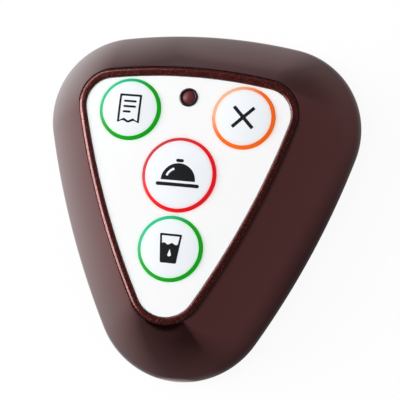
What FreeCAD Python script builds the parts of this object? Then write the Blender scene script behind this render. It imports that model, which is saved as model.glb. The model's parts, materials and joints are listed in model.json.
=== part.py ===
import FreeCAD, Part
import math
import os
import Sketcher
from FreeCAD import Placement, Rotation, Vector

# Wireless call button for a table or counter. Millimetres, +Z up, standing on z = 0.
# Four keys stand in a white panel, a rounded frame holds the panel, and a housing with
# sloping flanks carries both. A base plate closes the housing from below; a round
# bayonet door in it gives access to the coin cell. +Y is the wide end, with the lamp.

# ---------------------------------------------------------------- driving dimensions

SIZES = [
    ("plan_length", 58.6, "rounded triangle at the frame's inner edge: tip to wide end"),
    ("corner_half", 18.7, "half the distance between its two corner centres"),
    ("top_radius", 120.0, "bow of the wide end"),
    ("side_radius", 196.0, "bow of the long sides"),
    ("corner_radius", 6.6, "rounding of the two wide corners"),
    ("tip_radius", 7.5, "rounding of the tip"),
    ("panel_top_inset", 0.4, "how much wider the frame is along the wide end"),
    ("foot_proud", 0.6, "how far the rubber feet lift the housing"),
    ("panel_level", 22.3, "height of the panel's face above the table"),
    ("panel_thickness", 1.2, "white front panel"),
    ("panel_gap", 0.08, "gap between the panel and the frame"),
    ("deck_thickness", 1.6, "housing wall under the panel"),
    ("frame_width", 2.0, "width of the rounded frame"),
    ("frame_crown", 0.42, "height of the frame above the panel's face"),
    ("frame_round", 0.96, "rounding of the frame's outer top edge"),
    ("frame_inner_round", 0.35, "rounding of its inner top edge"),
    ("seam_gap", 0.06, "gap between the frame and the housing"),
    ("lip_width", 0.42, "thin edge of the housing round the frame"),
    ("lip_round", 0.4, "rounding of that edge"),
    ("crease_rise", 0.2, "height of that edge above the panel's face"),
    ("flank_spread", 12.23, "horizontal run of the sloping flank"),
    ("foot_height", 3.0, "upright part of the flank above the lower edge"),
    ("foot_round", 9.0, "rounding between the flank and its upright part"),
    ("edge_round", 0.7, "rounding of the lower edge"),
    ("flank_wall", 3.7, "horizontal thickness of the flank near the table"),
    ("crown_wall", 2.4, "horizontal thickness of the flank at the deck"),
    ("base_lip", 2.2, "housing wall outside the base plate"),
    ("base_gap", 0.15, "gap between the base plate and the housing"),
    ("base_thickness", 2.0, "base plate"),
    ("seal_thickness", 0.5, "flat seal between the base plate and the housing"),
    ("seal_width", 1.3, "width of that seal"),
    ("key_row_x", 14.0, "upper keys, sideways"),
    ("key_row_inset", 9.5, "upper keys, in from the wide end"),
    ("key_centre_step", 15.0, "centre key, from the upper ones towards the tip"),
    ("key_lower_step", 17.8, "lower key, from the centre one towards the tip"),
    ("centre_ring_radius", 8.6, "middle of the centre key's coloured edge"),
    ("upper_ring_radius", 7.15, "the same on the upper keys"),
    ("lower_ring_radius", 7.45, "the same on the lower key"),
    ("bevel_width", 0.68, "width of the coloured sloping edge, seen from above"),
    ("bevel_rise", 0.66, "height of that slope"),
    ("bevel_foot", 0.06, "height of its outer edge above the panel"),
    ("ring_seat", 0.3, "depth of the ring's seat below the panel's face"),
    ("key_crown", 0.3, "rise of the domed key top"),
    ("key_gap", 0.08, "gap between a key and the panel"),
    ("guide_gap", 0.08, "running gap between a key's skirt and the deck"),
    ("key_travel", 0.3, "how far a key goes down"),
    ("travel_gap", 0.2, "room left under a pressed key"),
    ("skirt_step", 0.6, "how far the skirt stands back under the cap"),
    ("skirt_wall", 1.0, "wall of the skirt"),
    ("cap_thickness", 1.5, "thickness of the key's top"),
    ("tab_reach", 1.0, "retaining tabs beyond the skirt"),
    ("tab_width", 3.0, "retaining tabs, along the skirt"),
    ("tab_thickness", 1.2, "retaining tabs, in height"),
    ("tab_gap", 0.1, "gap between the tabs and the deck"),
    ("stem_radius", 1.8, "stem that presses the switch"),
    ("board_top", 12.0, "height of the circuit board's upper face"),
    ("board_thickness", 1.6, "circuit board"),
    ("board_grow", 1.0, "board edge beyond the frame's inner edge"),
    ("switch_side", 6.0, "switch housing, square"),
    ("switch_height", 3.5, "switch housing, in height"),
    ("plunger_radius", 1.7, "switch plunger"),
    ("plunger_top", 5.0, "plunger's top above the board"),
    ("plunger_sink", 2.4, "plunger inside the switch housing"),
    ("plunger_gap", 0.06, "running gap round the plunger"),
    ("boss_radius", 2.6, "bosses that carry the board"),
    ("boss_wide_x", 19.5, "two of the bosses, sideways"),
    ("boss_wide_rise", 3.2, "the same, from the centre key towards the wide end"),
    ("boss_tip_x", 11.5, "the other two bosses, sideways"),
    ("boss_tip_drop", 9.8, "the same, from the centre key towards the tip"),
    ("board_screw_radius", 1.0, "board screws"),
    ("board_screw_head", 2.0, "radius of their heads"),
    ("board_head_height", 0.9, "height of their heads"),
    ("board_screw_length", 6.0, "screw length inside the boss"),
    ("post_radius", 2.8, "posts for the housing screws"),
    ("post_side_reach", 9.3, "two of the posts, out from the corner centres"),
    ("post_wide_inset", 0.3, "the same, in from the wide end"),
    ("post_tip_reach", 7.2, "third post, beyond the tip"),
    ("post_screw_radius", 1.25, "housing screws"),
    ("post_screw_head", 2.5, "radius of their heads"),
    ("post_head_height", 1.0, "height of their heads"),
    ("head_recess", 1.1, "depth of the recesses for those heads"),
    ("post_screw_length", 7.0, "screw length inside the post"),
    ("screw_gap", 0.05, "gap round a screw in its pilot hole"),
    ("hole_gap", 0.2, "gap round a screw in a through hole, or round its head"),
    ("hole_spare", 1.0, "pilot hole left free beyond the screw"),
    ("foot_radius", 5.0, "rubber feet"),
    ("foot_thickness", 1.2, "rubber feet"),
    ("foot_edge", 0.36, "rounding of their lower edge"),
    ("foot_side_reach", 6.3, "two of the feet, out from the corner centres"),
    ("foot_wide_inset", 12.3, "the same, in from the wide end"),
    ("foot_tip_inset", 2.8, "third foot, in from the tip"),
    ("foot_gap", 0.1, "gap between a foot and its recess"),
    ("lamp_inset", 5.5, "status lamp, in from the wide end"),
    ("lamp_radius", 1.6, "lamp's lens"),
    ("lamp_proud", 0.5, "lens above the panel's face"),
    ("lamp_length", 5.2, "lamp from its flange to its tip"),
    ("lamp_flange", 1.95, "radius of the lamp's flange"),
    ("lamp_flange_height", 1.0, "height of that flange"),
    ("lead_side", 0.5, "lamp's two square leads"),
    ("lead_tail", 1.0, "leads below the board"),
    ("lead_pitch", 2.54, "distance between the leads"),
    ("collar_radius", 2.36, "black collar round the lens"),
    ("collar_neck", 2.0, "the collar inside the panel"),
    ("collar_rise", 0.32, "collar above the panel's face"),
    ("collar_gap", 0.05, "gap inside and outside the collar"),
    ("terminal_length", 1.6, "flat terminals beside a switch"),
    ("terminal_width", 0.7, "flat terminals beside a switch"),
    ("terminal_thickness", 0.25, "flat terminals beside a switch"),
    ("terminal_pitch", 4.5, "distance between the terminals on one side"),
    ("chip_length", 8.6, "encoder chip"),
    ("chip_width", 3.9, "encoder chip"),
    ("chip_height", 1.45, "encoder chip"),
    ("chip_lift", 0.1, "encoder chip above the board"),
    ("leg_pitch", 1.27, "distance between its legs"),
    ("leg_width", 0.4, "legs"),
    ("leg_height", 0.3, "legs"),
    ("leg_reach", 1.05, "legs beyond the chip"),
    ("leg_root", 0.45, "legs inside the chip"),
    ("can_straight", 6.0, "crystal can, between its round ends"),
    ("can_width", 4.4, "crystal can"),
    ("can_height", 3.4, "crystal can"),
    ("can_step", 3.0, "crystal can, clear of the centre switch"),
    ("part_length", 2.0, "resistors and capacitors"),
    ("part_width", 1.25, "resistors and capacitors"),
    ("part_height", 0.6, "resistors and capacitors"),
    ("part_start", 6.6, "first of them, out from the chip's middle"),
    ("part_pitch", 2.2, "distance between them"),
    ("part_rise", 3.6, "their row, from the chip's middle towards the wide end"),
    ("track_thickness", 0.1, "copper track"),
    ("track_inset", 1.2, "copper track, in from the board's edge"),
    ("track_width", 1.0, "copper track"),
    ("cell_radius", 12.25, "coin cell"),
    ("cell_height", 5.0, "coin cell"),
    ("cell_gap", 0.4, "gap round the coin cell"),
    ("cell_step", 0.4, "step of the cell's cup above its can, and lower rounding"),
    ("cell_round", 0.5, "upper rounding of the cell's can"),
    ("cell_cup_inset", 1.6, "cup of the cell, in from the can"),
    ("leaf_width", 5.0, "leaf contact beside the cell"),
    ("leaf_thickness", 0.3, "both contacts"),
    ("leaf_drop", 4.5, "leaf below the board"),
    ("leaf_foot", 5.0, "the leaf's foot along the board"),
    ("leaf_gap", 0.15, "gap between the leaf and the cell"),
    ("window_gap", 0.7, "gap round the leaf in the well's wall"),
    ("dome_gap", 0.05, "gap between the domed contact and the cell"),
    ("dome_top", 1.5, "flat radius of the domed contact"),
    ("dome_foot", 5.0, "radius where it meets the board"),
    ("dome_rim", 2.0, "width of its rim"),
    ("door_gap", 0.15, "gap round the battery door"),
    ("door_lip", 2.4, "door's rim beyond its pilot"),
    ("door_edge", 0.3, "chamfer round the door's face"),
    ("door_flange", 1.1, "thickness of the door's rim"),
    ("door_floor", 1.9, "thickness of the door's middle"),
    ("pilot_lip", 2.15, "part of the door inside the base, beyond the coin cell"),
    ("pilot_gap", 0.1, "running gap round that part"),
    ("pilot_wall", 2.4, "its wall"),
    ("ledge_thickness", 1.25, "ledge that the bayonet lugs hold on to"),
    ("lug_reach", 1.4, "bayonet lugs beyond the pilot"),
    ("lug_width", 5.0, "bayonet lugs, along the ledge"),
    ("lug_thickness", 1.1, "bayonet lugs, in height"),
    ("lug_gap", 0.1, "gap above and below a lug"),
    ("lug_end_gap", 0.3, "gap beside a lug and beyond its tip"),
    ("stop_width", 1.5, "stops at both ends of a lug's path"),
    ("lug_turn", 40.0, "turn of the door from locked to free, in degrees"),
    ("well_wall", 2.0, "wall round the bayonet"),
    ("well_top", 9.3, "height of the battery well's edge above the table"),
    ("ring_section", 1.04, "thickness of the door's sealing ring"),
    ("ring_gap", 0.03, "gap round the sealing ring in its groove"),
    ("slot_length", 15.0, "coin slot"),
    ("slot_width", 1.9, "coin slot"),
    ("slot_depth", 1.1, "coin slot"),
]

FILE_FOLDER = "parts"
TAB_COUNT = 3
LUG_COUNT = 3
LEG_COUNT = 7
PART_COUNT = 3

# A cross-recess screw, in shares of its own head and shank.
HEAD_ROUNDING = 0.5
CROSS_ARM = 0.6
CROSS_HALF_WIDTH = 0.14
CROSS_DEPTH = 0.6
SCREW_POINT = 0.6

FLAT = 1e-4

doc = FreeCAD.newDocument("CallButton")
sheet = doc.addObject("Spreadsheet::Sheet", "Sizes")


def as_size(thing):
    return thing if isinstance(thing, Size) else Size(float(thing), repr(float(thing)))


class Size:
    """A length: its value, and the same as a formula on the sheet's cells."""

    def __init__(self, value, text):
        self.value = value
        self.text = text

    def __add__(self, other):
        other = as_size(other)
        return Size(self.value + other.value, f"({self.text} + {other.text})")

    def __sub__(self, other):
        other = as_size(other)
        return Size(self.value - other.value, f"({self.text} - {other.text})")

    def __mul__(self, other):
        other = as_size(other)
        return Size(self.value * other.value, f"({self.text} * {other.text})")

    def __truediv__(self, other):
        other = as_size(other)
        return Size(self.value / other.value, f"({self.text} / {other.text})")

    def __neg__(self):
        return Size(-self.value, f"(-1 * {self.text})")


class Sizes:
    """The sheet's cells by name."""


for row, (name, value, note) in enumerate(SIZES, 1):
    sheet.set(f"A{row}", name)
    sheet.set(f"B{row}", str(value))
    sheet.set(f"C{row}", note)
    sheet.setAlias(f"B{row}", name)
    setattr(Sizes, name, Size(value, f"Sizes.{name}"))
doc.recompute()

S = Sizes
ZERO = as_size(0)

# ------------------------------------------------------------- levels and places

BASE = S.foot_proud
PANEL = S.panel_level
DECK_TOP = PANEL - S.panel_thickness
DECK_UNDER = DECK_TOP - S.deck_thickness
CREASE = PANEL + S.crease_rise
FRAME_TOP = PANEL + S.frame_crown
BASE_TOP = BASE + S.base_thickness
SEAL_TOP = BASE_TOP + S.seal_thickness
FLANK_FOOT = BASE + S.foot_height

CREASE_GROW = S.frame_width + S.seam_gap + S.lip_width
FOOT_GROW = CREASE_GROW + S.flank_spread
CAVITY_FOOT_GROW = FOOT_GROW - S.flank_wall
DECK_RUN = S.flank_spread * (CREASE - DECK_UNDER) / (CREASE - FLANK_FOOT)
CAVITY_TOP_GROW = CREASE_GROW + DECK_RUN - S.crown_wall
BASE_GROW = FOOT_GROW - S.base_lip

BOARD_UNDER = S.board_top - S.board_thickness
PLUNGER_TOP = S.board_top + S.plunger_top
CAP_UNDER = DECK_TOP + S.key_travel + S.travel_gap
TAB_TOP = DECK_UNDER - S.tab_gap
SKIRT_BOTTOM = TAB_TOP - S.tab_thickness

DOOR_RIM_TOP = BASE + S.door_flange
LEDGE_UNDER = DOOR_RIM_TOP + S.lug_gap / 2
LEDGE_TOP = LEDGE_UNDER + S.ledge_thickness
LUG_UNDER = LEDGE_TOP + S.lug_gap
LUG_TOP = LUG_UNDER + S.lug_thickness
PILOT = S.cell_radius + S.pilot_lip
DOOR = PILOT + S.door_lip
LUG_RADIUS = PILOT + S.lug_reach
LUG_SPACE = S.lug_width / 2 + S.lug_end_gap
BORE_RADIUS = PILOT + S.pilot_gap
WELL_INSIDE = LUG_RADIUS + S.lug_end_gap
WELL_OUTSIDE = WELL_INSIDE + S.well_wall
CELL_UNDER = LUG_TOP + S.lug_gap
CELL_TOP = CELL_UNDER + S.cell_height

WIDE_END = S.plan_length / 2
ROW_Y = WIDE_END - S.key_row_inset
CENTRE_Y = ROW_Y - S.key_centre_step
LOWER_Y = CENTRE_Y - S.key_lower_step
LAMP_Y = WIDE_END - S.lamp_inset
CHIP_Y = (CENTRE_Y + LOWER_Y) / 2

# Each key: name, place, radius of its coloured ring, whether its tabs are turned round.
KEYS = [
    ("upper_left", -S.key_row_x, ROW_Y, S.upper_ring_radius, False),
    ("upper_right", S.key_row_x, ROW_Y, S.upper_ring_radius, False),
    ("centre", ZERO, CENTRE_Y, S.centre_ring_radius, False),
    ("lower", ZERO, LOWER_Y, S.lower_ring_radius, True),
]


def pair(x, y):
    """The same place on the left and on the right."""
    return [(-x, y), (x, y)]


BOSS_TIP_Y = CENTRE_Y - S.boss_tip_drop
BOSSES = pair(S.boss_wide_x, CENTRE_Y + S.boss_wide_rise) + pair(S.boss_tip_x, BOSS_TIP_Y)
POSTS = pair(S.corner_half + S.post_side_reach, WIDE_END - S.post_wide_inset)
POSTS.append((ZERO, -WIDE_END - S.post_tip_reach))
FEET = pair(S.corner_half + S.foot_side_reach, WIDE_END - S.foot_wide_inset)
FEET.append((ZERO, -WIDE_END + S.foot_tip_inset))

# ------------------------------------------------------------------ sketch helpers


def bind(thing, prop, size):
    thing.setExpression(prop, size.text)


def new_body(label):
    body = doc.addObject("PartDesign::Body", label)
    body.Label = label
    return body


def place(thing, x, y):
    """Puts a finished piece at its place in plan."""
    thing.Placement = Placement(Vector(x.value, y.value, 0), thing.Placement.Rotation)
    bind(thing, "Placement.Base.x", x)
    bind(thing, "Placement.Base.y", y)


def sketch_on(body, name, role, height=None):
    """A sketch on one of the body's own planes, lifted to a height."""
    plane = [p for p in body.Origin.OriginFeatures if p.Role == role][0]
    sketch = body.newObject("Sketcher::SketchObject", name)
    sketch.AttachmentSupport = (plane, [""])
    sketch.MapMode = "FlatFace"
    if height is not None:
        sketch.AttachmentOffset = Placement(Vector(0, 0, height.value), Rotation())
        bind(sketch, "AttachmentOffset.Base.z", height)
    return sketch


def drive(sketch, kind, where, size):
    """Adds a dimension whose value follows the sheet."""
    index = sketch.addConstraint(Sketcher.Constraint(kind, *where, size.value))
    bind(sketch, f"Constraints[{index}]", size)


def hold_point(sketch, geo, point, x, y):
    """Holds a point at a distance from the sketch's origin."""
    for size, kind, axis in ((x, "DistanceX", -2), (y, "DistanceY", -1)):
        if size.value == 0:
            sketch.addConstraint(Sketcher.Constraint("PointOnObject", geo, point, axis))
        elif size.value > 0:
            drive(sketch, kind, (-1, 1, geo, point), size)
        else:
            drive(sketch, kind, (geo, point, -1, 1), -size)


def outline(body, name, height, grow, top_inset=ZERO):
    """The rounded-triangle plan, grown outwards, as six arcs that run into each other."""
    sketch = sketch_on(body, name, "XY_Plane", height)
    top_drop = S.top_radius - S.plan_length / 2 + top_inset
    tip_drop = S.plan_length / 2 - S.tip_radius
    top = Vector(0, -top_drop.value, 0)
    tip = Vector(0, -tip_drop.value, 0)
    reach = S.top_radius.value - S.corner_radius.value
    half = S.corner_half.value
    corner = Vector(half, top.y + math.sqrt(reach ** 2 - half ** 2), 0)
    to_tip = S.side_radius.value - S.tip_radius.value
    to_corner = S.side_radius.value - S.corner_radius.value
    line = corner - tip
    along = (to_tip ** 2 - to_corner ** 2 + line.Length ** 2) / (2 * line.Length)
    across = math.sqrt(to_tip ** 2 - along ** 2)
    unit = Vector(line).normalize()
    side = tip + unit * along + Vector(-unit.y, unit.x, 0) * across

    def heading(start, end):
        return math.atan2(end.y - start.y, end.x - start.x)

    low, high = heading(side, tip), heading(side, corner)
    bow = heading(top, corner)

    def mirrored(point):
        return Vector(-point.x, point.y, 0)

    arcs = [
        (tip, S.tip_radius, -math.pi - low, low),
        (side, S.side_radius, low, high),
        (corner, S.corner_radius, high, bow),
        (top, S.top_radius, bow, math.pi - bow),
        (mirrored(corner), S.corner_radius, math.pi - bow, math.pi - high),
        (mirrored(side), S.side_radius, math.pi - high, math.pi - low),
    ]
    for centre, radius, start, end in arcs:
        circle = Part.Circle(centre, Vector(0, 0, 1), (radius + grow).value)
        sketch.addGeometry(Part.ArcOfCircle(circle, start, end), False)
    for index, (centre, radius, start, end) in enumerate(arcs):
        following = (index + 1) % len(arcs)
        sketch.addConstraint(Sketcher.Constraint("Tangent", index, 2, following, 1))
        drive(sketch, "Radius", (index,), radius + grow)
    hold_point(sketch, 0, 3, ZERO, -tip_drop)
    hold_point(sketch, 3, 3, ZERO, -top_drop)
    drive(sketch, "DistanceX", (-1, 1, 2, 3), S.corner_half)
    drive(sketch, "DistanceX", (4, 3, -1, 1), S.corner_half)
    return sketch


def circles(body, name, height, places):
    """Circles, each given by its place and its radius."""
    sketch = sketch_on(body, name, "XY_Plane", height)
    for x, y, radius in places:
        circle = Part.Circle(Vector(x.value, y.value, 0), Vector(0, 0, 1), radius.value)
        index = sketch.addGeometry(circle, False)
        drive(sketch, "Radius", (index,), radius)
        hold_point(sketch, index, 3, x, y)
    return sketch


def loop(sketch, points, arcs=None):
    """A closed line through points, anticlockwise; arcs gives the radius of bowed sides."""
    arcs = arcs or {}
    count = len(points)
    first = len(sketch.Geometry)
    for index, (x, y) in enumerate(points):
        start = Vector(x.value, y.value, 0)
        end = Vector(*[c.value for c in points[(index + 1) % count]], 0)
        if index not in arcs:
            sketch.addGeometry(Part.LineSegment(start, end), False)
            continue
        radius = arcs[index].value
        chord = end - start
        left = Vector(-chord.y, chord.x, 0).normalize()
        centre = (start + end) * 0.5 + left * math.sqrt(radius ** 2 - chord.Length ** 2 / 4)
        begin = math.atan2(start.y - centre.y, start.x - centre.x)
        finish = math.atan2(end.y - centre.y, end.x - centre.x)
        circle = Part.Circle(centre, Vector(0, 0, 1), radius)
        sketch.addGeometry(Part.ArcOfCircle(circle, begin, finish), False)
    for index, (x, y) in enumerate(points):
        following = first + (index + 1) % count
        joint = ("Coincident", first + index, 2, following, 1)
        sketch.addConstraint(Sketcher.Constraint(*joint))
        hold_point(sketch, first + index, 1, x, y)
    for index, radius in arcs.items():
        drive(sketch, "Radius", (first + index,), radius)
    return sketch


def rectangle(sketch, left, right, low, high):
    return loop(sketch, [(left, low), (right, low), (right, high), (left, high)])


# ----------------------------------------------------------------- feature helpers


def pad(body, name, sketch, length):
    feature = body.newObject("PartDesign::Pad", name)
    feature.Profile = sketch
    bind(feature, "Length", length)
    return feature


def pocket(body, name, sketch, length, upwards=False):
    """Cuts away from the sketch, downwards unless told otherwise, and proves it cut."""
    doc.recompute()
    before = body.Shape.Volume
    feature = body.newObject("PartDesign::Pocket", name)
    feature.Profile = sketch
    bind(feature, "Length", length)
    feature.Reversed = upwards
    doc.recompute()
    if not feature.Shape.Volume < before:
        raise RuntimeError(f"{body.Label}: {name} cuts nothing")
    return feature


def revolve(body, name, sketch):
    feature = body.newObject("PartDesign::Revolution", name)
    feature.Profile = sketch
    feature.ReferenceAxis = (sketch, ["V_Axis"])
    feature.Angle = 360
    return feature


def around(body, name, feature, sketch, count):
    """Repeats a feature round the body's own axis."""
    pattern = body.newObject("PartDesign::PolarPattern", name)
    pattern.Originals = [feature]
    pattern.Axis = (sketch, ["N_Axis"])
    pattern.Angle = 360
    pattern.Occurrences = count
    body.Tip = pattern
    return pattern


def edges_at(shape, height):
    """Names of the edges that lie flat at a height."""
    names = []
    for number, edge in enumerate(shape.Edges, 1):
        box = edge.BoundBox
        if abs(box.ZMin - height.value) < FLAT and abs(box.ZMax - height.value) < FLAT:
            names.append(f"Edge{number}")
    return names


def opening_edges(shape, height):
    """Names of the edges round the openings in the flat face at a height."""
    level = height.value
    top = next(face for face in shape.Faces
               if abs(face.BoundBox.ZMin - level) < FLAT and abs(face.BoundBox.ZMax - level) < FLAT)
    rim = top.OuterWire.Edges
    around = [edge for edge in top.Edges if not any(edge.isSame(other) for other in rim)]
    return [f"Edge{number}" for number, edge in enumerate(shape.Edges, 1)
            if any(edge.isSame(other) for other in around)]


def fillet_level(body, name, height, radius, pick=edges_at):
    """Rounds the edges that lie flat at a height, all of them or those that pick names."""
    doc.recompute()
    base = body.Tip
    feature = body.newObject("PartDesign::Fillet", name)
    feature.Base = (base, pick(base.Shape, height))
    bind(feature, "Radius", radius)
    doc.recompute()
    return feature


def turned(label, points, arcs=None):
    """A piece of revolution about its own upright axis."""
    body = new_body(label)
    sketch = loop(sketch_on(body, label + "_profile", "XZ_Plane"), points, arcs)
    revolve(body, label + "_turned", sketch)
    return body


def group(label, members):
    """Separate solids that share one node."""
    compound = doc.addObject("Part::Compound", label)
    compound.Label = label
    compound.Links = members
    return compound


def block(label, x, y, foot, length, width, height):
    """A box that stands on a level, by the middle of its foot."""
    box = doc.addObject("Part::Box", label)
    sizes = [("Length", length), ("Width", width), ("Height", height)]
    middle = [("x", x - length / 2), ("y", y - width / 2), ("z", foot)]
    for prop, size in sizes + [(f"Placement.Base.{axis}", at) for axis, at in middle]:
        bind(box, prop, size)
    return box


def bow_radius(reach, rise):
    """Radius of the arc over a half-width that rises by a given height."""
    return (reach * reach + rise * rise) / (rise * 2)


nodes = []


def keep(thing):
    nodes.append(thing)
    return thing


# ------------------------------------------------------------------- upper housing
# The outside is a sloping rounded triangle; the core is the space inside it, with the
# bosses and posts left standing and their pilot holes as pins, as in the mould.


def housing_outside():
    body = new_body("housing_outside")
    pad(body, "foot_wall", outline(body, "foot_plan", BASE, FOOT_GROW), S.foot_height)
    low = outline(body, "flank_plan", FLANK_FOOT, FOOT_GROW)
    high = outline(body, "crease_plan", CREASE, CREASE_GROW)
    flank = body.newObject("PartDesign::AdditiveLoft", "flank")
    flank.Profile = low
    flank.Sections = [high]
    flank.Ruled = True
    fillet_level(body, "foot_rounding", FLANK_FOOT, S.foot_round)
    fillet_level(body, "lower_edge", BASE, S.edge_round)
    fillet_level(body, "lip_rounding", CREASE, S.lip_round)
    seat = outline(body, "frame_seat_plan", CREASE, S.frame_width + S.seam_gap)
    pocket(body, "frame_seat", seat, CREASE - DECK_TOP)
    openings = [
        (x, y, ring + S.bevel_width / 2 - S.skirt_step + S.guide_gap)
        for name, x, y, ring, turned_round in KEYS
    ]
    openings.append((ZERO, LAMP_Y, S.collar_neck + S.collar_gap))
    holes = circles(body, "deck_plan", DECK_TOP, openings)
    pocket(body, "deck_openings", holes, S.deck_thickness * 2)
    return body


def housing_core():
    body = new_body("housing_core")
    depth = S.base_thickness + S.seal_thickness
    slab = outline(body, "base_seat_plan", BASE - depth, BASE_GROW)
    pad(body, "base_seat", slab, depth * 2)
    cavity_low = outline(body, "cavity_low_plan", SEAL_TOP, CAVITY_FOOT_GROW)
    cavity_high = outline(body, "cavity_high_plan", DECK_UNDER, CAVITY_TOP_GROW)
    cavity = body.newObject("PartDesign::AdditiveLoft", "cavity")
    cavity.Profile = cavity_low
    cavity.Sections = [cavity_high]
    cavity.Ruled = True
    rows = (
        ("boss", BOSSES, S.boss_radius, S.board_top, S.board_screw_radius,
         S.board_screw_length),
        ("post", POSTS, S.post_radius, BASE_TOP, S.post_screw_radius,
         S.post_screw_length),
    )
    for name, places, radius, foot, screw, length in rows:
        outer = circles(body, name + "_plan", foot, [(x, y, radius) for x, y in places])
        pocket(body, name + "_space", outer, DECK_UNDER - foot, upwards=True)
        pilot = [(x, y, screw + S.screw_gap) for x, y in places]
        pins = circles(body, name + "_pilot_plan", foot, pilot)
        pad(body, name + "_pilot", pins, length)
    return body


def upper_housing():
    cut = doc.addObject("Part::Cut", "upper_housing")
    cut.Label = "upper_housing"
    cut.Base = housing_outside()
    cut.Tool = housing_core()
    return cut


# --------------------------------------------------------------- frame and panel


def panel_frame():
    body = new_body("panel_frame")
    outer = outline(body, "frame_plan", DECK_TOP, S.frame_width)
    pad(body, "frame_bar", outer, FRAME_TOP - DECK_TOP)
    fillet_level(body, "frame_rounding", FRAME_TOP, S.frame_round)
    inner = outline(body, "window_plan", FRAME_TOP, ZERO, S.panel_top_inset)
    pocket(body, "window", inner, FRAME_TOP - DECK_TOP)
    fillet_level(body, "inner_rounding", FRAME_TOP, S.frame_inner_round, opening_edges)
    return body


def front_panel():
    body = new_body("front_panel")
    plan = outline(body, "panel_plan", DECK_TOP, -S.panel_gap, S.panel_top_inset)
    pad(body, "panel_sheet", plan, S.panel_thickness)
    openings = [
        (x, y, ring + S.bevel_width / 2 + S.key_gap)
        for name, x, y, ring, turned_round in KEYS
    ]
    openings.append((ZERO, LAMP_Y, S.collar_neck + S.collar_gap))
    holes = circles(body, "panel_openings_plan", PANEL, openings)
    pocket(body, "panel_openings", holes, S.panel_thickness)
    return body


# ------------------------------------------------------------------ keys and switches


def key_cap(name, x, y, ring, turned_round):
    """A domed cap on a hollow skirt, with a stem, a ring seat and three tabs."""
    inner = ring - S.bevel_width / 2
    outer = ring + S.bevel_width / 2
    skirt = outer - S.skirt_step
    seat = PANEL - S.ring_seat
    brow = PANEL + S.bevel_foot + S.bevel_rise
    ceiling = brow - S.cap_thickness
    points = [
        (ZERO, PLUNGER_TOP),
        (S.stem_radius, PLUNGER_TOP),
        (S.stem_radius, ceiling),
        (skirt - S.skirt_wall, ceiling),
        (skirt - S.skirt_wall, SKIRT_BOTTOM),
        (skirt, SKIRT_BOTTOM),
        (skirt, CAP_UNDER),
        (outer, CAP_UNDER),
        (outer, seat),
        (inner, seat),
        (inner, brow),
        (ZERO, brow + S.key_crown),
    ]
    body = turned("key_" + name, points, {10: bow_radius(inner, S.key_crown)})
    doc.recompute()
    plan = sketch_on(body, name + "_tab_plan", "XY_Plane", SKIRT_BOTTOM)
    half = S.tab_width / 2
    rectangle(plan, -half, half, skirt - S.skirt_wall / 2, skirt + S.tab_reach)
    tab = pad(body, name + "_tab", plan, S.tab_thickness)
    around(body, name + "_tabs", tab, plan, TAB_COUNT)
    if turned_round:
        body.Placement = Placement(Vector(), Rotation(Vector(0, 0, 1), 180))
    place(body, x, y)
    return body


def key_ring(name, x, y, ring):
    """The coloured ring that forms the key's sloping edge."""
    inner = ring - S.bevel_width / 2
    outer = ring + S.bevel_width / 2
    seat = PANEL - S.ring_seat
    foot = PANEL + S.bevel_foot
    points = [(inner, seat), (outer, seat), (outer, foot), (inner, foot + S.bevel_rise)]
    body = turned("ring_" + name, points)
    place(body, x, y)
    return body


def switch(name, x, y):
    """The square housing of a key's switch, with the bore for its plunger."""
    body = new_body("switch_" + name)
    half = S.switch_side / 2
    plan = sketch_on(body, name + "_switch_plan", "XY_Plane", S.board_top)
    rectangle(plan, -half, half, -half, half)
    pad(body, name + "_switch_block", plan, S.switch_height)
    top = S.board_top + S.switch_height
    radius = S.plunger_radius + S.plunger_gap
    bore = circles(body, name + "_bore_plan", top, [(ZERO, ZERO, radius)])
    pocket(body, name + "_bore", bore, S.plunger_sink)
    place(body, x, y)
    return body


def plunger(name, x, y):
    """The switch's plunger, under the key's stem."""
    foot = S.board_top + S.switch_height - S.plunger_sink + S.key_travel + S.travel_gap
    points = [(ZERO, foot), (S.plunger_radius, foot), (S.plunger_radius, PLUNGER_TOP),
              (ZERO, PLUNGER_TOP)]
    body = turned("plunger_" + name, points)
    place(body, x, y)
    return body


def switch_terminals():
    """Four flat terminals beside each switch."""
    members = []
    for name, x, y, ring, turned_round in KEYS:
        for side in (-1, 1):
            for row in (-1, 1):
                middle = x + (S.switch_side + S.terminal_length) * (side / 2)
                place_y = y + S.terminal_pitch * (row / 2)
                members.append(block(f"terminal_{name}", middle, place_y, S.board_top,
                                     S.terminal_length, S.terminal_width,
                                     S.terminal_thickness))
    return group("switch_terminals", members)


# -------------------------------------------------------------------- status lamp


def led_collar():
    inside = S.lamp_radius + S.collar_gap
    top = PANEL + S.collar_rise
    rounding = S.collar_rise
    points = [
        (inside, DECK_UNDER),
        (S.collar_neck, DECK_UNDER),
        (S.collar_neck, PANEL),
        (S.collar_radius, PANEL),
        (S.collar_radius - rounding, top),
        (inside, top),
    ]
    body = turned("led_collar", points, {3: rounding})
    place(body, ZERO, LAMP_Y)
    return body


def status_led():
    tip = PANEL + S.lamp_proud
    shoulder = tip - S.lamp_radius
    foot = tip - S.lamp_length
    points = [
        (ZERO, foot),
        (S.lamp_flange, foot),
        (S.lamp_flange, foot + S.lamp_flange_height),
        (S.lamp_radius, foot + S.lamp_flange_height),
        (S.lamp_radius, shoulder),
        (ZERO, tip),
    ]
    body = turned("status_led", points, {4: S.lamp_radius})
    place(body, ZERO, LAMP_Y)
    return body


def led_leads():
    foot = BOARD_UNDER - S.lead_tail
    height = PANEL + S.lamp_proud - S.lamp_length - foot
    members = [
        block("lead", x, y, foot, S.lead_side, S.lead_side, height)
        for x, y in pair(S.lead_pitch / 2, LAMP_Y)
    ]
    return group("led_leads", members)


# ------------------------------------------------------------------- circuit board


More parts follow.
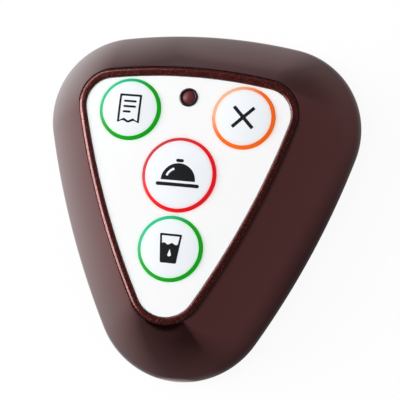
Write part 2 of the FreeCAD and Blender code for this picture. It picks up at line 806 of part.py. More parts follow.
def circuit_board():
    body = new_body("circuit_board")
    plan = outline(body, "board_plan", BOARD_UNDER, S.board_grow, S.panel_top_inset)
    pad(body, "board_sheet", plan, S.board_thickness)
    places = [(x, y, S.board_screw_radius + S.hole_gap) for x, y in BOSSES]
    places += [(x, y, S.lead_side) for x, y in pair(S.lead_pitch / 2, LAMP_Y)]
    holes = circles(body, "board_holes_plan", S.board_top, places)
    pocket(body, "board_holes", holes, S.board_thickness)
    return body


def loop_antenna():
    """A copper track round the board's tip, open towards the wide end."""
    body = new_body("loop_antenna")
    edge = S.board_grow - S.track_inset
    track = outline(body, "track_plan", S.board_top, edge, S.panel_top_inset)
    pad(body, "track", track, S.track_thickness)
    inside = edge - S.track_width
    inner = outline(body, "track_inside_plan", S.board_top, inside, S.panel_top_inset)
    pocket(body, "track_inside", inner, S.track_thickness, upwards=True)
    reach = S.plan_length
    opening = sketch_on(body, "track_opening_plan", "XY_Plane", S.board_top)
    rectangle(opening, -reach, reach, BOSS_TIP_Y - S.boss_radius * 2, reach)
    pocket(body, "track_opening", opening, S.track_thickness, upwards=True)
    return body


def encoder_chip():
    body = new_body("encoder_chip")
    half, depth = S.chip_length / 2, S.chip_width / 2
    plan = sketch_on(body, "chip_plan", "XY_Plane", S.board_top + S.chip_lift)
    rectangle(plan, -half, half, CHIP_Y - depth, CHIP_Y + depth)
    pad(body, "chip_block", plan, S.chip_height)
    legs = sketch_on(body, "chip_legs_plan", "XY_Plane", S.board_top)
    root, tip = depth - S.leg_root, depth + S.leg_reach
    for number in range(LEG_COUNT):
        middle = S.leg_pitch * (number - (LEG_COUNT - 1) / 2)
        left, right = middle - S.leg_width / 2, middle + S.leg_width / 2
        rectangle(legs, left, right, CHIP_Y - tip, CHIP_Y - root)
        rectangle(legs, left, right, CHIP_Y + root, CHIP_Y + tip)
    pad(body, "chip_legs", legs, S.leg_height)
    return body


def crystal_can():
    """A quartz crystal in its metal can, lying between the centre key and the lamp."""
    body = new_body("crystal_can")
    plan = sketch_on(body, "can_plan", "XY_Plane", S.board_top)
    half, end = S.can_straight / 2, S.can_width / 2
    near = CENTRE_Y + S.switch_side / 2 + S.can_step
    far = near + S.can_width
    points = [(-half, near), (half, near), (half, far), (-half, far)]
    loop(plan, points, {1: end + FLAT, 3: end + FLAT})
    pad(body, "can", plan, S.can_height)
    return body


def chip_parts():
    """Resistors and capacitors, in rows beside the encoder chip."""
    places = []
    for number in range(PART_COUNT):
        places += pair(S.part_start + S.part_pitch * number, CHIP_Y + S.part_rise)
    members = [
        block("chip_part", x, y, S.board_top, S.part_width, S.part_length, S.part_height)
        for x, y in places
    ]
    return group("chip_parts", members)


# ------------------------------------------------------------------ battery and contacts


def coin_cell():
    rim, step, rounding = S.cell_radius, S.cell_step, S.cell_round
    cup = rim - S.cell_cup_inset
    points = [
        (ZERO, CELL_UNDER),
        (rim - step, CELL_UNDER),
        (rim, CELL_UNDER + step),
        (rim, CELL_TOP - step - rounding),
        (rim - rounding, CELL_TOP - step),
        (cup, CELL_TOP - step),
        (cup, CELL_TOP),
        (ZERO, CELL_TOP),
    ]
    return turned("coin_cell", points, {1: step, 3: rounding})


def contact_positive():
    """A leaf beside the cell, with its foot on the board."""
    body = new_body("contact_positive")
    near = S.cell_radius + S.leaf_gap
    half = S.leaf_width / 2
    leaf = sketch_on(body, "leaf_plan", "XY_Plane", BOARD_UNDER - S.leaf_drop)
    rectangle(leaf, -half, half, near, near + S.leaf_thickness)
    pad(body, "leaf", leaf, S.leaf_drop)
    foot = sketch_on(body, "leaf_foot_plan", "XY_Plane", BOARD_UNDER - S.leaf_thickness)
    rectangle(foot, -half, half, near, near + S.leaf_foot)
    pad(body, "leaf_foot", foot, S.leaf_thickness)
    return body


def contact_negative():
    """A sprung plate under the board, domed towards the cell."""
    low = CELL_TOP + S.dome_gap
    rim = S.dome_foot + S.dome_rim
    points = [
        (ZERO, low),
        (S.dome_top, low),
        (S.dome_foot, BOARD_UNDER - S.leaf_thickness),
        (rim, BOARD_UNDER - S.leaf_thickness),
        (rim, BOARD_UNDER),
        (S.dome_foot, BOARD_UNDER),
        (S.dome_top, low + S.leaf_thickness),
        (ZERO, low + S.leaf_thickness),
    ]
    return turned("contact_negative", points)


# ----------------------------------------------------------------------- base plate


def turned_sketch(body, name, height, angle):
    """A level sketch that is turned about the body's own axis."""
    sketch = sketch_on(body, name, "XY_Plane", height)
    turn = Rotation(Vector(0, 0, 1), angle.value)
    sketch.AttachmentOffset = Placement(Vector(0, 0, height.value), turn)
    bind(sketch, "AttachmentOffset.Rotation.Angle", angle)
    return sketch


def bayonet_stop(body, name, angle, left, right):
    """Blocks in the lugs' channel, one at the same end of each lug's path."""
    plan = turned_sketch(body, name + "_plan", LEDGE_TOP, angle)
    rectangle(plan, left, right, BORE_RADIUS + S.pilot_gap, WELL_INSIDE + S.well_wall / 2)
    stop = pad(body, name, plan, LUG_TOP + S.lug_gap - LEDGE_TOP)
    around(body, name + "s", stop, plan, LUG_COUNT)
    doc.recompute()


def base_plate():
    body = new_body("base_plate")
    plan = outline(body, "base_plan", BASE, BASE_GROW - S.base_gap)
    pad(body, "base_sheet", plan, S.base_thickness)
    hole = circles(body, "door_hole_plan", BASE, [(ZERO, ZERO, DOOR + S.door_gap)])
    pocket(body, "door_hole", hole, S.base_thickness, upwards=True)
    well = [
        (BORE_RADIUS, LEDGE_UNDER),
        (WELL_OUTSIDE, LEDGE_UNDER),
        (WELL_OUTSIDE, S.well_top),
        (S.cell_radius + S.cell_gap, S.well_top),
        (S.cell_radius + S.cell_gap, LUG_TOP + S.lug_gap),
        (WELL_INSIDE, LUG_TOP + S.lug_gap),
        (WELL_INSIDE, LEDGE_TOP),
        (BORE_RADIUS, LEDGE_TOP),
    ]
    revolve(body, "battery_well", loop(sketch_on(body, "well_profile", "XZ_Plane"), well))
    doc.recompute()
    entry = turned_sketch(body, "entry_plan", LEDGE_UNDER, -S.lug_turn)
    rectangle(entry, -LUG_SPACE, LUG_SPACE, BORE_RADIUS - 1, WELL_INSIDE)
    notch = pocket(body, "entry", entry, S.ledge_thickness, upwards=True)
    around(body, "entries", notch, entry, LUG_COUNT)
    bayonet_stop(body, "free_stop", -S.lug_turn, LUG_SPACE, LUG_SPACE + S.stop_width)
    bayonet_stop(body, "locked_stop", ZERO, -LUG_SPACE - S.stop_width, -LUG_SPACE)
    window = sketch_on(body, "contact_window_plan", "XY_Plane", BOARD_UNDER)
    half = S.leaf_width / 2 + S.window_gap
    rectangle(window, -half, half, S.cell_radius, WELL_OUTSIDE + 1)
    pocket(body, "contact_window", window, S.leaf_drop + S.window_gap)
    feet = [(x, y, S.foot_radius + S.foot_gap) for x, y in FEET]
    recess = circles(body, "foot_recess_plan", BASE, feet)
    pocket(body, "foot_recesses", recess, S.foot_thickness - S.foot_proud, upwards=True)
    holes = [(x, y, S.post_screw_radius + S.hole_gap) for x, y in POSTS]
    plan = circles(body, "screw_hole_plan", BASE, holes)
    pocket(body, "screw_holes", plan, S.base_thickness, upwards=True)
    heads = [(x, y, S.post_screw_head + S.hole_gap) for x, y in POSTS]
    plan = circles(body, "screw_head_plan", BASE, heads)
    pocket(body, "screw_head_recesses", plan, S.head_recess, upwards=True)
    return body


def housing_seal():
    body = new_body("housing_seal")
    grow = BASE_GROW - S.base_gap
    plan = outline(body, "seal_plan", BASE_TOP, grow)
    pad(body, "seal_sheet", plan, S.seal_thickness)
    inner = outline(body, "seal_inside_plan", SEAL_TOP, grow - S.seal_width)
    pocket(body, "seal_inside", inner, S.seal_thickness)
    return body


def battery_door():
    """A round door: rim, pilot with a groove, three bayonet lugs and a coin slot."""
    groove = PILOT - S.ring_section + S.ring_gap
    groove_low = LEDGE_UNDER + S.ring_gap
    groove_high = groove_low + S.ring_section + S.ring_gap * 2
    points = [
        (ZERO, BASE),
        (DOOR - S.door_edge, BASE),
        (DOOR, BASE + S.door_edge),
        (DOOR, DOOR_RIM_TOP),
        (PILOT, DOOR_RIM_TOP),
        (PILOT, groove_low),
        (groove, groove_low),
        (groove, groove_high),
        (PILOT, groove_high),
        (PILOT, LUG_TOP),
        (PILOT - S.pilot_wall, LUG_TOP),
        (PILOT - S.pilot_wall, BASE + S.door_floor),
        (ZERO, BASE + S.door_floor),
    ]
    body = turned("battery_door", points)
    doc.recompute()
    plan = sketch_on(body, "lug_plan", "XY_Plane", LUG_UNDER)
    half = S.lug_width / 2
    rectangle(plan, -half, half, PILOT - S.pilot_wall / 2, LUG_RADIUS)
    lug = pad(body, "lug", plan, S.lug_thickness)
    around(body, "lugs", lug, plan, LUG_COUNT)
    doc.recompute()
    slot = sketch_on(body, "slot_plan", "XY_Plane", BASE)
    rectangle(slot, -S.slot_length / 2, S.slot_length / 2,
              -S.slot_width / 2, S.slot_width / 2)
    pocket(body, "coin_slot", slot, S.slot_depth, upwards=True)
    return body


def door_seal():
    centre = PILOT - S.ring_section / 2 + S.ring_gap * 2
    torus = doc.addObject("Part::Torus", "door_seal")
    torus.Label = "door_seal"
    bind(torus, "Radius1", centre)
    bind(torus, "Radius2", S.ring_section / 2)
    height = LEDGE_UNDER + S.ring_gap * 2 + S.ring_section / 2
    bind(torus, "Placement.Base.z", height)
    return torus


# ----------------------------------------------------------------- screws and feet


def screw(label, x, y, seat, shank, head, head_height, length):
    """A pan-head screw driven upwards, with its head under the seat."""
    rounding = head_height * HEAD_ROUNDING
    points = [
        (ZERO, seat - head_height),
        (head - rounding, seat - head_height),
        (head, seat - head_height + rounding),
        (head, seat),
        (shank, seat),
        (shank, seat + length),
        (ZERO, seat + length + shank * SCREW_POINT),
    ]
    body = turned(label, points, {1: rounding})
    doc.recompute()
    arm, half = head * CROSS_ARM, head * CROSS_HALF_WIDTH
    drive_plan = sketch_on(body, label + "_drive_plan", "XY_Plane", seat - head_height)
    cross = [(half, -arm), (half, -half), (arm, -half), (arm, half), (half, half),
             (half, arm), (-half, arm), (-half, half), (-arm, half), (-arm, -half),
             (-half, -half), (-half, -arm)]
    loop(drive_plan, cross)
    pocket(body, label + "_drive", drive_plan, head_height * CROSS_DEPTH, upwards=True)
    place(body, x, y)
    return body


def housing_screws():
    seat = BASE + S.head_recess
    length = BASE_TOP - seat + S.post_screw_length - S.hole_spare
    members = [
        screw(f"housing_screw_{number}", x, y, seat, S.post_screw_radius,
              S.post_screw_head, S.post_head_height, length)
        for number, (x, y) in enumerate(POSTS)
    ]
    return group("housing_screws", members)


def board_screws():
    length = S.board_thickness + S.board_screw_length - S.hole_spare
    members = [
        screw(f"board_screw_{number}", x, y, BOARD_UNDER, S.board_screw_radius,
              S.board_screw_head, S.board_head_height, length)
        for number, (x, y) in enumerate(BOSSES)
    ]
    return group("board_screws", members)


def rubber_feet():
    rounding = S.foot_edge
    points = [
        (ZERO, ZERO),
        (S.foot_radius - rounding, ZERO),
        (S.foot_radius, rounding),
        (S.foot_radius, S.foot_thickness),
        (ZERO, S.foot_thickness),
    ]
    members = []
    for number, (x, y) in enumerate(FEET):
        foot = turned(f"rubber_foot_{number}", points, {1: rounding})
        place(foot, x, y)
        members.append(foot)
    return group("rubber_feet", members)


# ------------------------------------------------------------------------- assembly

keep(upper_housing())
keep(panel_frame())
keep(front_panel())
for name, x, y, ring, turned_round in KEYS:
    keep(key_cap(name, x, y, ring, turned_round))
    keep(key_ring(name, x, y, ring))
    keep(switch(name, x, y))
    keep(plunger(name, x, y))
keep(switch_terminals())
keep(led_collar())
keep(status_led())
keep(led_leads())
keep(circuit_board())
keep(loop_antenna())
keep(encoder_chip())
keep(crystal_can())
keep(chip_parts())
keep(coin_cell())
keep(contact_positive())
keep(contact_negative())
keep(base_plate())
keep(housing_seal())
keep(battery_door())
keep(door_seal())
keep(housing_screws())
keep(board_screws())
keep(rubber_feet())
doc.recompute()

for thing in doc.Objects:
    if "Invalid" in thing.State or "Error" in thing.State:
        raise RuntimeError(f"{thing.Label}: {thing.State}")
for node in nodes:
    if node.Shape.isNull() or not node.Shape.isValid() or not node.Shape.Solids:
        raise RuntimeError(f"{node.Label}: no sound solid")

os.makedirs(FILE_FOLDER, exist_ok=True)
for node in nodes:
    node.Shape.exportStep(f"{FILE_FOLDER}/{node.Label}.step")
    box = node.Shape.BoundBox
    print(f"{node.Label}: {len(node.Shape.Solids)} solid(s), {node.Shape.Volume:.1f} mm3,"
          f" z {box.ZMin:.2f} to {box.ZMax:.2f}")
whole = Part.makeCompound([node.Shape for node in nodes]).BoundBox
print(f"whole: {whole.XLength:.2f} x {whole.YLength:.2f} x {whole.ZLength:.2f} mm,"
      f" y {whole.YMin:.2f} to {whole.YMax:.2f}")
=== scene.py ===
# %% [markdown]
# # A table call button, dressed around its CAD model
# The CAD model fixes every size and every joint. This script gives the button its looks:
# a lacquered brown housing, a sparkling frame, a white panel with four keys, and the parts
# underneath. Each step says what the real piece is before it makes it.

# %% Load the fixed frame
import json
import math

import bmesh
import bpy
from mathutils import Matrix, Vector


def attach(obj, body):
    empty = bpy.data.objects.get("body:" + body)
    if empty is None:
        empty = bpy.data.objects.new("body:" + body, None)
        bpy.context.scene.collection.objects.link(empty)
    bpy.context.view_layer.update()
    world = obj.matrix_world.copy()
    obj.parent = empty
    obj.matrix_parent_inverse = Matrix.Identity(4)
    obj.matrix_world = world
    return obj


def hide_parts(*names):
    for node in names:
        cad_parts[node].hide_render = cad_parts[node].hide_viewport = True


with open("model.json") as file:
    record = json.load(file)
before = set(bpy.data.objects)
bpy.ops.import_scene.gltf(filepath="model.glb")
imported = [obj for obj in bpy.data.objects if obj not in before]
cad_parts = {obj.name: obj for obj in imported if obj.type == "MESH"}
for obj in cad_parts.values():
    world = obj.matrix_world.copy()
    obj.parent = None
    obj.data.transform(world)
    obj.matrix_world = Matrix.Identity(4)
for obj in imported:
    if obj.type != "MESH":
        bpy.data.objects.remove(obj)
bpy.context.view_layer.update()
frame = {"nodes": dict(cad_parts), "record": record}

MM = 0.001
scene = bpy.context.scene

# %% [markdown]
# ## Camera
# The picture is taken from almost straight above, a little from the right and from the
# front, with a long lens, so that the outline hardly narrows with distance. The camera's
# turn is written as the three directions it sees as right, up and backwards.

# %% Camera
LENS, SENSOR = 126.0, 36.0
CLIP = (0.005, 20.0)
EYE = (75.30, -42.58, 344.5)
EYE_RIGHT = (0.97379, 0.11712, -0.19495)
EYE_UP = (-0.08902, 0.9851, 0.14718)
EYE_BACK = (0.20929, -0.12597, 0.96971)

camera_data = bpy.data.cameras.new("camera")
camera_data.lens = LENS
camera_data.sensor_width = SENSOR
camera_data.clip_start, camera_data.clip_end = CLIP
camera = bpy.data.objects.new("camera", camera_data)
turn = Matrix((EYE_RIGHT, EYE_UP, EYE_BACK)).transposed()
camera.matrix_world = Matrix.Translation(Vector(EYE) * MM) @ turn.to_4x4()
scene.collection.objects.link(camera)
scene.camera = camera
print("camera stands", round(camera.location.length / MM), "mm from the button's foot")

# %% [markdown]
# ## Where the keys are
# Four keys stand on the panel, each with a coloured edge. Their places, the radii of those
# edges and their colours are needed first for the glow in the white plastic and later for
# the keys themselves.

# %% Keys and their places, in millimetres
PLAN_LENGTH = 58.6
ROW_X = 14.0
ROW_Y = PLAN_LENGTH / 2 - 9.5
CENTRE_Y = ROW_Y - 15.0
LOWER_Y = CENTRE_Y - 17.8
LAMP_Y = PLAN_LENGTH / 2 - 5.5
BEVEL_WIDTH = 0.77
KEYS = {
    "upper_left": (-ROW_X, ROW_Y, 7.15, "ring_green"),
    "upper_right": (ROW_X, ROW_Y, 7.15, "ring_orange"),
    "centre": (0.0, CENTRE_Y, 8.6, "ring_red"),
    "lower": (0.0, LOWER_Y, 7.45, "ring_green"),
}
print(len(KEYS), "keys, the lowest at", round(LOWER_Y, 1), "mm")

# %% [markdown]
# ## Shader helpers
# A finish is a small network of nodes. `Amount` lets a number that varies over the surface
# be used in sums and products like any other number. `Recipe` adds any node by its type,
# its settings and its sockets' values, and has short names for the few patterns that the
# finishes share. `Finish` is the recipe of one material. Most surfaces here differ only in
# numbers: two close tones, an uneven gloss and a fine relief, which `mottled` makes.

# %% Arithmetic on a varying number


class Amount:
    """A number that varies over a surface; arithmetic on it adds Math nodes."""

    def __init__(self, recipe, socket):
        self.recipe = recipe
        self.socket = socket

    def combine(self, operation, first, second):
        made = self.recipe.node("ShaderNodeMath", {"operation": operation},
                                {0: first, 1: second})
        return Amount(self.recipe, made.outputs[0])

    def __add__(self, other):
        return self.combine("ADD", self, other)

    def __sub__(self, other):
        return self.combine("SUBTRACT", self, other)

    def __rsub__(self, other):
        return self.combine("SUBTRACT", other, self)

    def __mul__(self, other):
        return self.combine("MULTIPLY", self, other)

    __radd__ = __add__
    __rmul__ = __mul__

    def above(self, level):
        return self.combine("GREATER_THAN", self, level)

    def either(self, other):
        return self.combine("MAXIMUM", self, other)

    def size(self):
        return self.combine("ABSOLUTE", self, 0.0)


# %% Recipes for node networks


class Recipe:
    """The nodes of one material, world or geometry tree."""

    def __init__(self, tree):
        self.tree = tree

    def node(self, kind, settings=None, values=None):
        made = self.tree.nodes.new(kind)
        for name, value in (settings or {}).items():
            setattr(made, name, value)
        for key, value in (values or {}).items():
            if isinstance(value, Amount):
                value = value.socket
            if isinstance(value, bpy.types.NodeSocket):
                self.tree.links.new(value, made.inputs[key])
            else:
                made.inputs[key].default_value = value
        return made

    def place(self):
        """Where a point lies on the object, in metres."""
        return self.node("ShaderNodeTexCoord").outputs["Object"]

    def vector_maths(self, operation, *vectors):
        return self.node("ShaderNodeVectorMath", {"operation": operation},
                         dict(enumerate(vectors))).outputs

    def around(self, x, y):
        """Where a point lies in plan, seen from a place given in millimetres."""
        moved = self.node("ShaderNodeMapping", None, {
            "Vector": self.place(), "Location": (-x * MM, -y * MM, 0.0)})
        return self.vector_maths("MULTIPLY", moved.outputs[0], (1.0, 1.0, 0.0))["Vector"]

    def fading(self, amount, start, end, first, last):
        """Goes smoothly from first to last while the amount goes from start to end."""
        made = self.node("ShaderNodeMapRange", {"interpolation_type": "SMOOTHSTEP"}, {
            "Value": amount, "From Min": start, "From Max": end,
            "To Min": first, "To Max": last})
        return Amount(self, made.outputs["Result"])

    def length(self, vector):
        return Amount(self, self.vector_maths("LENGTH", vector)["Value"])

    def away(self, x, y):
        """How far a point lies in plan from a place given in millimetres, in metres."""
        return self.length(self.around(x, y))

    def along(self, vector, direction):
        """How far a place lies in one direction, in metres."""
        return Amount(self, self.vector_maths("DOT_PRODUCT", vector, direction)["Value"])

    def noise(self, size, detail, stretch=None):
        """A cloudy amount from 0 to 1; size is that of one cloud, in metres."""
        where = self.place()
        if stretch:
            where = self.node("ShaderNodeMapping", None,
                              {"Vector": where, "Scale": stretch}).outputs[0]
        made = self.node("ShaderNodeTexNoise", None,
                         {"Vector": where, "Scale": 1 / size, "Detail": detail})
        return Amount(self, made.outputs["Fac"])

    def flakes(self, size):
        """A random amount for each small cell, as for flakes in a paint."""
        made = self.node("ShaderNodeTexVoronoi", {"feature": "F1"},
                         {"Vector": self.place(), "Scale": 1 / size})
        split = self.node("ShaderNodeSeparateColor", None, {0: made.outputs["Color"]})
        return Amount(self, split.outputs[0])

    def blend(self, share, first, second):
        """Mixes two colours by a share from 0 to 1."""
        made = self.node("ShaderNodeMix", {"data_type": "RGBA"},
                         {0: share, 6: colour4(first), 7: colour4(second)})
        return made.outputs[2]

    def relief(self, height, depth):
        """Turns a height from 0 to 1 into a bumpy normal; depth is in metres."""
        made = self.node("ShaderNodeBump", None, {"Height": height, "Distance": depth})
        return made.outputs["Normal"]


def colour4(colour):
    return (*colour, 1.0) if isinstance(colour, tuple) and len(colour) == 3 else colour


# %% The recipe of one material


class Finish(Recipe):
    """A new material, with the values that are the same all over it already set."""

    def __init__(self, name, constants):
        self.material = bpy.data.materials.new(name)
        self.material.use_nodes = True
        super().__init__(self.material.node_tree)
        self.shader = self.tree.nodes["Principled BSDF"]
        for socket, value in constants.items():
            self.shader.inputs[socket].default_value = value

    def feed(self, **sockets):
        """Links what varies over the surface to the shader, by the socket's name."""
        for name, value in sockets.items():
            socket = self.shader.inputs[name.replace("_", " ").title()]
            self.tree.links.new(value.socket if isinstance(value, Amount) else value, socket)
        return self.material


slots = {}


def keep(slot, material):
    """Files a material under the name that the CAD record has for that finish."""
    slots[slot] = material
    print(slot, "takes", len(material.node_tree.nodes), "nodes")


def varied(middle, *parts):
    """A gloss about a middle value; each (amount, share) spreads it over its share."""
    gloss = middle - sum(share for amount, share in parts) / 2
    for amount, share in parts:
        if share:
            gloss = amount * share + gloss
    return gloss


# %% The pattern that most finishes follow


def mottled(name, constants, tones, cloud, grain, gloss, spread, depth, lines=None, tint=None):
    """Two close tones in clouds, a gloss that wanders and a fine relief.

    cloud and grain give each noise's size and detail, and spread says how far each of them
    moves the gloss. lines squeezes the grain into scratches; tint changes the final tone.
    """
    recipe = Finish(name, constants)
    patches, skin = recipe.noise(*cloud), recipe.noise(*grain, lines)
    tone = recipe.blend(patches, *tones)
    return recipe.feed(
        base_color=tint(recipe, tone) if tint else tone,
        roughness=varied(gloss, (patches, spread[0]), (skin, spread[1])),
        normal=recipe.relief(skin, depth))


# %% [markdown]
# ## The finishes
# The housing is plastic with a polished brown metallic lacquer. It has hardly any colour
# of its own: it is nearly black where it mirrors the dark side of a room, brown where it
# mirrors something grey, and pale where it mirrors a bright table at a flat angle. A full
# Metallic with a thin clear coat gives all three. A faint cloud in the colour and in the
# gloss keeps it from looking perfect, and a fine ripple marks it as moulded.

# %% Housing lacquer
BROWN = (0.17, 0.05, 0.051)
BROWN_DEEP = (0.155, 0.045, 0.046)

keep("housing_brown", mottled(
    "housing_lacquer", {"Metallic": 1.0, "Coat Weight": 0.3, "Coat Roughness": 0.05},
    tones=(BROWN_DEEP, BROWN), cloud=(9 * MM, 4.0), grain=(1.4 * MM, 2.0),
    gloss=0.095, spread=(0.05, 0.0), depth=0.0012 * MM))

# %% [markdown]
# The frame round the panel carries a metallic paint: tiny flakes lie in it at slightly
# different angles, so some flash while their neighbours stay dark. Voronoi cells make the
# flakes. Each cell has one random number, which picks its colour and its gloss. The paint
# has a fine orange peel, as a sprayed coat has, and a clear coat covers it.

# %% Frame paint with flakes
PAINT = (0.042, 0.0036, 0.0029)
PAINT_FLAKE = (0.44, 0.085, 0.07)
FLAKE_SIZE, PEEL_SIZE = 0.12 * MM, 0.45 * MM
PEEL_DEPTH = 0.002 * MM
FLASH_ABOVE = 0.92
FLASH, GLIMMER = 0.75, 0.06


def frame_paint():
    recipe = Finish("frame_paint", {
        "Metallic": 0.75, "IOR": 1.1, "Coat Weight": 0.85, "Coat Roughness": 0.15,
        "Coat IOR": 1.55})
    flake = recipe.flakes(FLAKE_SIZE)
    bright = flake.above(FLASH_ABOVE) * FLASH + flake * GLIMMER
    return recipe.feed(
        base_color=recipe.blend(bright, PAINT, PAINT_FLAKE),
        roughness=0.42 - flake * 0.12,
        normal=recipe.relief(recipe.noise(PEEL_SIZE, 2.0), PEEL_DEPTH))


keep("frame_metallic_brown", frame_paint())

# %% [markdown]
# White plastic comes twice: the panel is a smooth sheet, and the key caps are moulded with
# a satin face. Both get a fine grain in the surface and a slight unevenness in the gloss.
# Next to a coloured edge both carry a painted glow of its colour, which stands in for the
# edge's light spilling onto the white plastic. The distance from each key's circle gives that
# painted glow.

# %% White sheet and key caps
# painted glow: the coloured edges' light, painted into the white plastic near them
PAINTED_GLOW_START, PAINTED_GLOW_END = 0.3 * MM, 1.5 * MM
PAINTED_GLOW_SHARE = 0.36
PAINTED_GLOW_TINTS = {"ring_green": (0.42, 0.89, 0.55), "ring_orange": (0.95, 0.62, 0.42),
        "ring_red": (0.95, 0.5, 0.52)}


def with_painted_glow(recipe, colour):
    """The colour, with a painted glow of the edge's colour in a soft band on both sides of each
    edge.
    """
    for x, y, ring, tint in KEYS.values():
        off = (recipe.away(x, y) - ring * MM).size()
        near = recipe.fading(off, PAINTED_GLOW_START, PAINTED_GLOW_END, PAINTED_GLOW_SHARE, 0.0)
        colour = recipe.blend(near, colour, PAINTED_GLOW_TINTS[tint])
    return colour


def satin_plastic(name, shade, colour, gloss, grain, depth, coat=0.0, shine=0.5, tint=None):
    return mottled(
        name, {"IOR": 1.47, "Coat Weight": coat, "Coat Roughness": 0.06,
               "Specular IOR Level": shine},
        tones=(shade, colour), cloud=(6 * MM, 4.0), grain=(grain, 2.0),
        gloss=gloss, spread=(0.05, 0.04), depth=depth, tint=tint)


keep("panel_white", satin_plastic(
    "panel_white", (0.875, 0.878, 0.885), (0.89, 0.89, 0.895), 0.32, 0.25 * MM, 0.0006 * MM,
    tint=with_painted_glow))
keep("key_white", satin_plastic(
    "key_white", (0.815, 0.838, 0.875), (0.83, 0.85, 0.885), 0.42, 0.18 * MM, 0.0012 * MM,
    tint=with_painted_glow))

# %% [markdown]
# The coloured edges are clear tinted plastic. Their glow is painted: an emission of the
# edge's own colour gives most of their brightness, though they are no lamp. A painted
# highlight pales them from the deep tone at the lower right to a light one on the side that
# faces up and left, towards the lamps. One colour per end and a ramp across the key's plan
# make that change. The surface itself is darker than that painted glow, so that the lamps
# change its brightness only a little from side to side.

# %% Coloured edges
# painted glow: the edges shine with an emission of their own colour, though they are no lamp
PAINTED_GLOW_STRENGTH = 0.85
# the surface colour is darkened under the painted glow, so that the lamps change it little
DIMMING_UNDER_GLOW = 0.5
BLACK = (0.0, 0.0, 0.0)
# painted highlight: the edge pales on the side that faces up and left, towards the lamps
HIGHLIGHT_SIDE = (-0.7071, 0.7071, 0.0)
HIGHLIGHT_START = 0.1
OWN_END, OWN_FADED = 1.0, 1.5
# each edge's deep tone, then its painted highlight tone
EDGE_TONES = {
    "ring_green": ((0.0015, 0.29, 0.0035), (0.004, 0.385, 0.187)),
    "ring_orange": ((0.76, 0.11, 0.004), (0.63, 0.31, 0.19)),
    "ring_red": ((0.65, 0.003, 0.008), (0.41, 0.014, 0.021)),
}


def edge_with_painted_glow(name, deep, highlight_tone):
    """Tinted plastic for the key edges, with a painted glow and a painted highlight on the side
    that faces up and left.
    """
    recipe = Finish(name, {
        "IOR": 1.47, "Specular IOR Level": 0.3, "Emission Strength": PAINTED_GLOW_STRENGTH})
    skin = recipe.noise(0.3 * MM, 2.0)
    colour = deep
    for x, y, ring, tint in KEYS.values():
        if tint != name:
            continue
        side = recipe.around(x, y)
        # painted highlight: a ramp across the key towards the side that faces up and left
        toward_highlight = recipe.fading(recipe.along(side, HIGHLIGHT_SIDE), HIGHLIGHT_START * ring * MM,
                                  ring * MM, 0.0, 1.0)
        own = recipe.fading(recipe.length(side), (ring + OWN_END) * MM,
                            (ring + OWN_FADED) * MM, 1.0, 0.0)
        colour = recipe.blend(toward_highlight * own, colour, highlight_tone)
    # painted glow: the emission takes the edge's colour, and the surface below it is darkened
    return recipe.feed(
        base_color=recipe.blend(DIMMING_UNDER_GLOW, colour, BLACK), emission_color=colour,
        roughness=varied(0.42, (skin, 0.08)),
        normal=recipe.relief(skin, 0.0006 * MM))


for tint, tones in EDGE_TONES.items():
    keep(tint, edge_with_painted_glow(tint, *tones))

# %% [markdown]
# The printed signs are thick black ink. The lamp is moulded from cloudy, brownish red resin
# that spreads light, so its highlight is soft. Its collar is glossy black.

# %% Ink, lens and collar
LENS_CLOUD = (0.5 * MM, 4.0)

ink = satin_plastic("key_ink", (0.004, 0.0045, 0.006), (0.006, 0.0065, 0.008), 0.5,
                    0.12 * MM, 0.001 * MM, shine=0.15)
keep("led_red", mottled(
    "lamp_lens", {"IOR": 1.45, "Specular IOR Level": 0.35},
    tones=((0.108, 0.017, 0.02), (0.158, 0.03, 0.033)), cloud=LENS_CLOUD, grain=LENS_CLOUD,
    gloss=0.41, spread=(0.1, 0.0), depth=0.02 * MM))
keep("collar_black", satin_plastic(
    "collar_black", (0.006, 0.007, 0.009), (0.009, 0.01, 0.013), 0.22, 0.2 * MM, 0.0012 * MM,
    coat=0.4))

# %% [markdown]
# Underneath, the plate and the door are unpainted plastic with a spark-eroded grain from
# the mould, which spreads the light evenly. The switches and chips inside have the same
# kind of skin. Rubber is duller and holds dust in its pores.

# %% Grained plastic and rubber
GRAIN_DEPTH = 0.02 * MM
GRAINED = {
    "base_dark": ((0.024, 0.011, 0.011), (0.032, 0.015, 0.0145), 0.55),
    "door_dark": ((0.026, 0.012, 0.012), (0.035, 0.017, 0.016), 0.48),
    "switch_black": ((0.014, 0.014, 0.015), (0.02, 0.02, 0.021), 0.55),
    "plunger_black": ((0.04, 0.04, 0.04), (0.05, 0.05, 0.05), 0.55),
    "chip_black": ((0.012, 0.012, 0.013), (0.018, 0.018, 0.019), 0.55),
    "chip_part_body": ((0.24, 0.16, 0.1), (0.3, 0.2, 0.12), 0.4),
}


def grained_plastic(name, shade, colour, gloss):
    """The even, slightly rough grain that a spark-eroded mould leaves."""
    recipe = Finish(name, {"IOR": 1.5})
    coarse = recipe.noise(0.22 * MM, 3.0)
    fine = recipe.noise(0.07 * MM, 2.0)
    cloud = recipe.noise(14 * MM, 3.0)
    return recipe.feed(
        base_color=recipe.blend(cloud * 0.7 + fine * 0.3, shade, colour),
        roughness=varied(gloss, (coarse, 0.16)),
        normal=recipe.relief(coarse * 0.65 + fine * 0.35, GRAIN_DEPTH))


for slot, settings in GRAINED.items():
    keep(slot, grained_plastic(slot, *settings))
for slot in ("feet_rubber", "seal_rubber"):
    keep(slot, mottled(
        slot, {"IOR": 1.45}, tones=((0.013, 0.013, 0.013), (0.036, 0.034, 0.032)),
        cloud=(2.5 * MM, 5.0), grain=(0.15 * MM, 4.0), gloss=0.795, spread=(0.0, 0.15),
        depth=GRAIN_DEPTH))

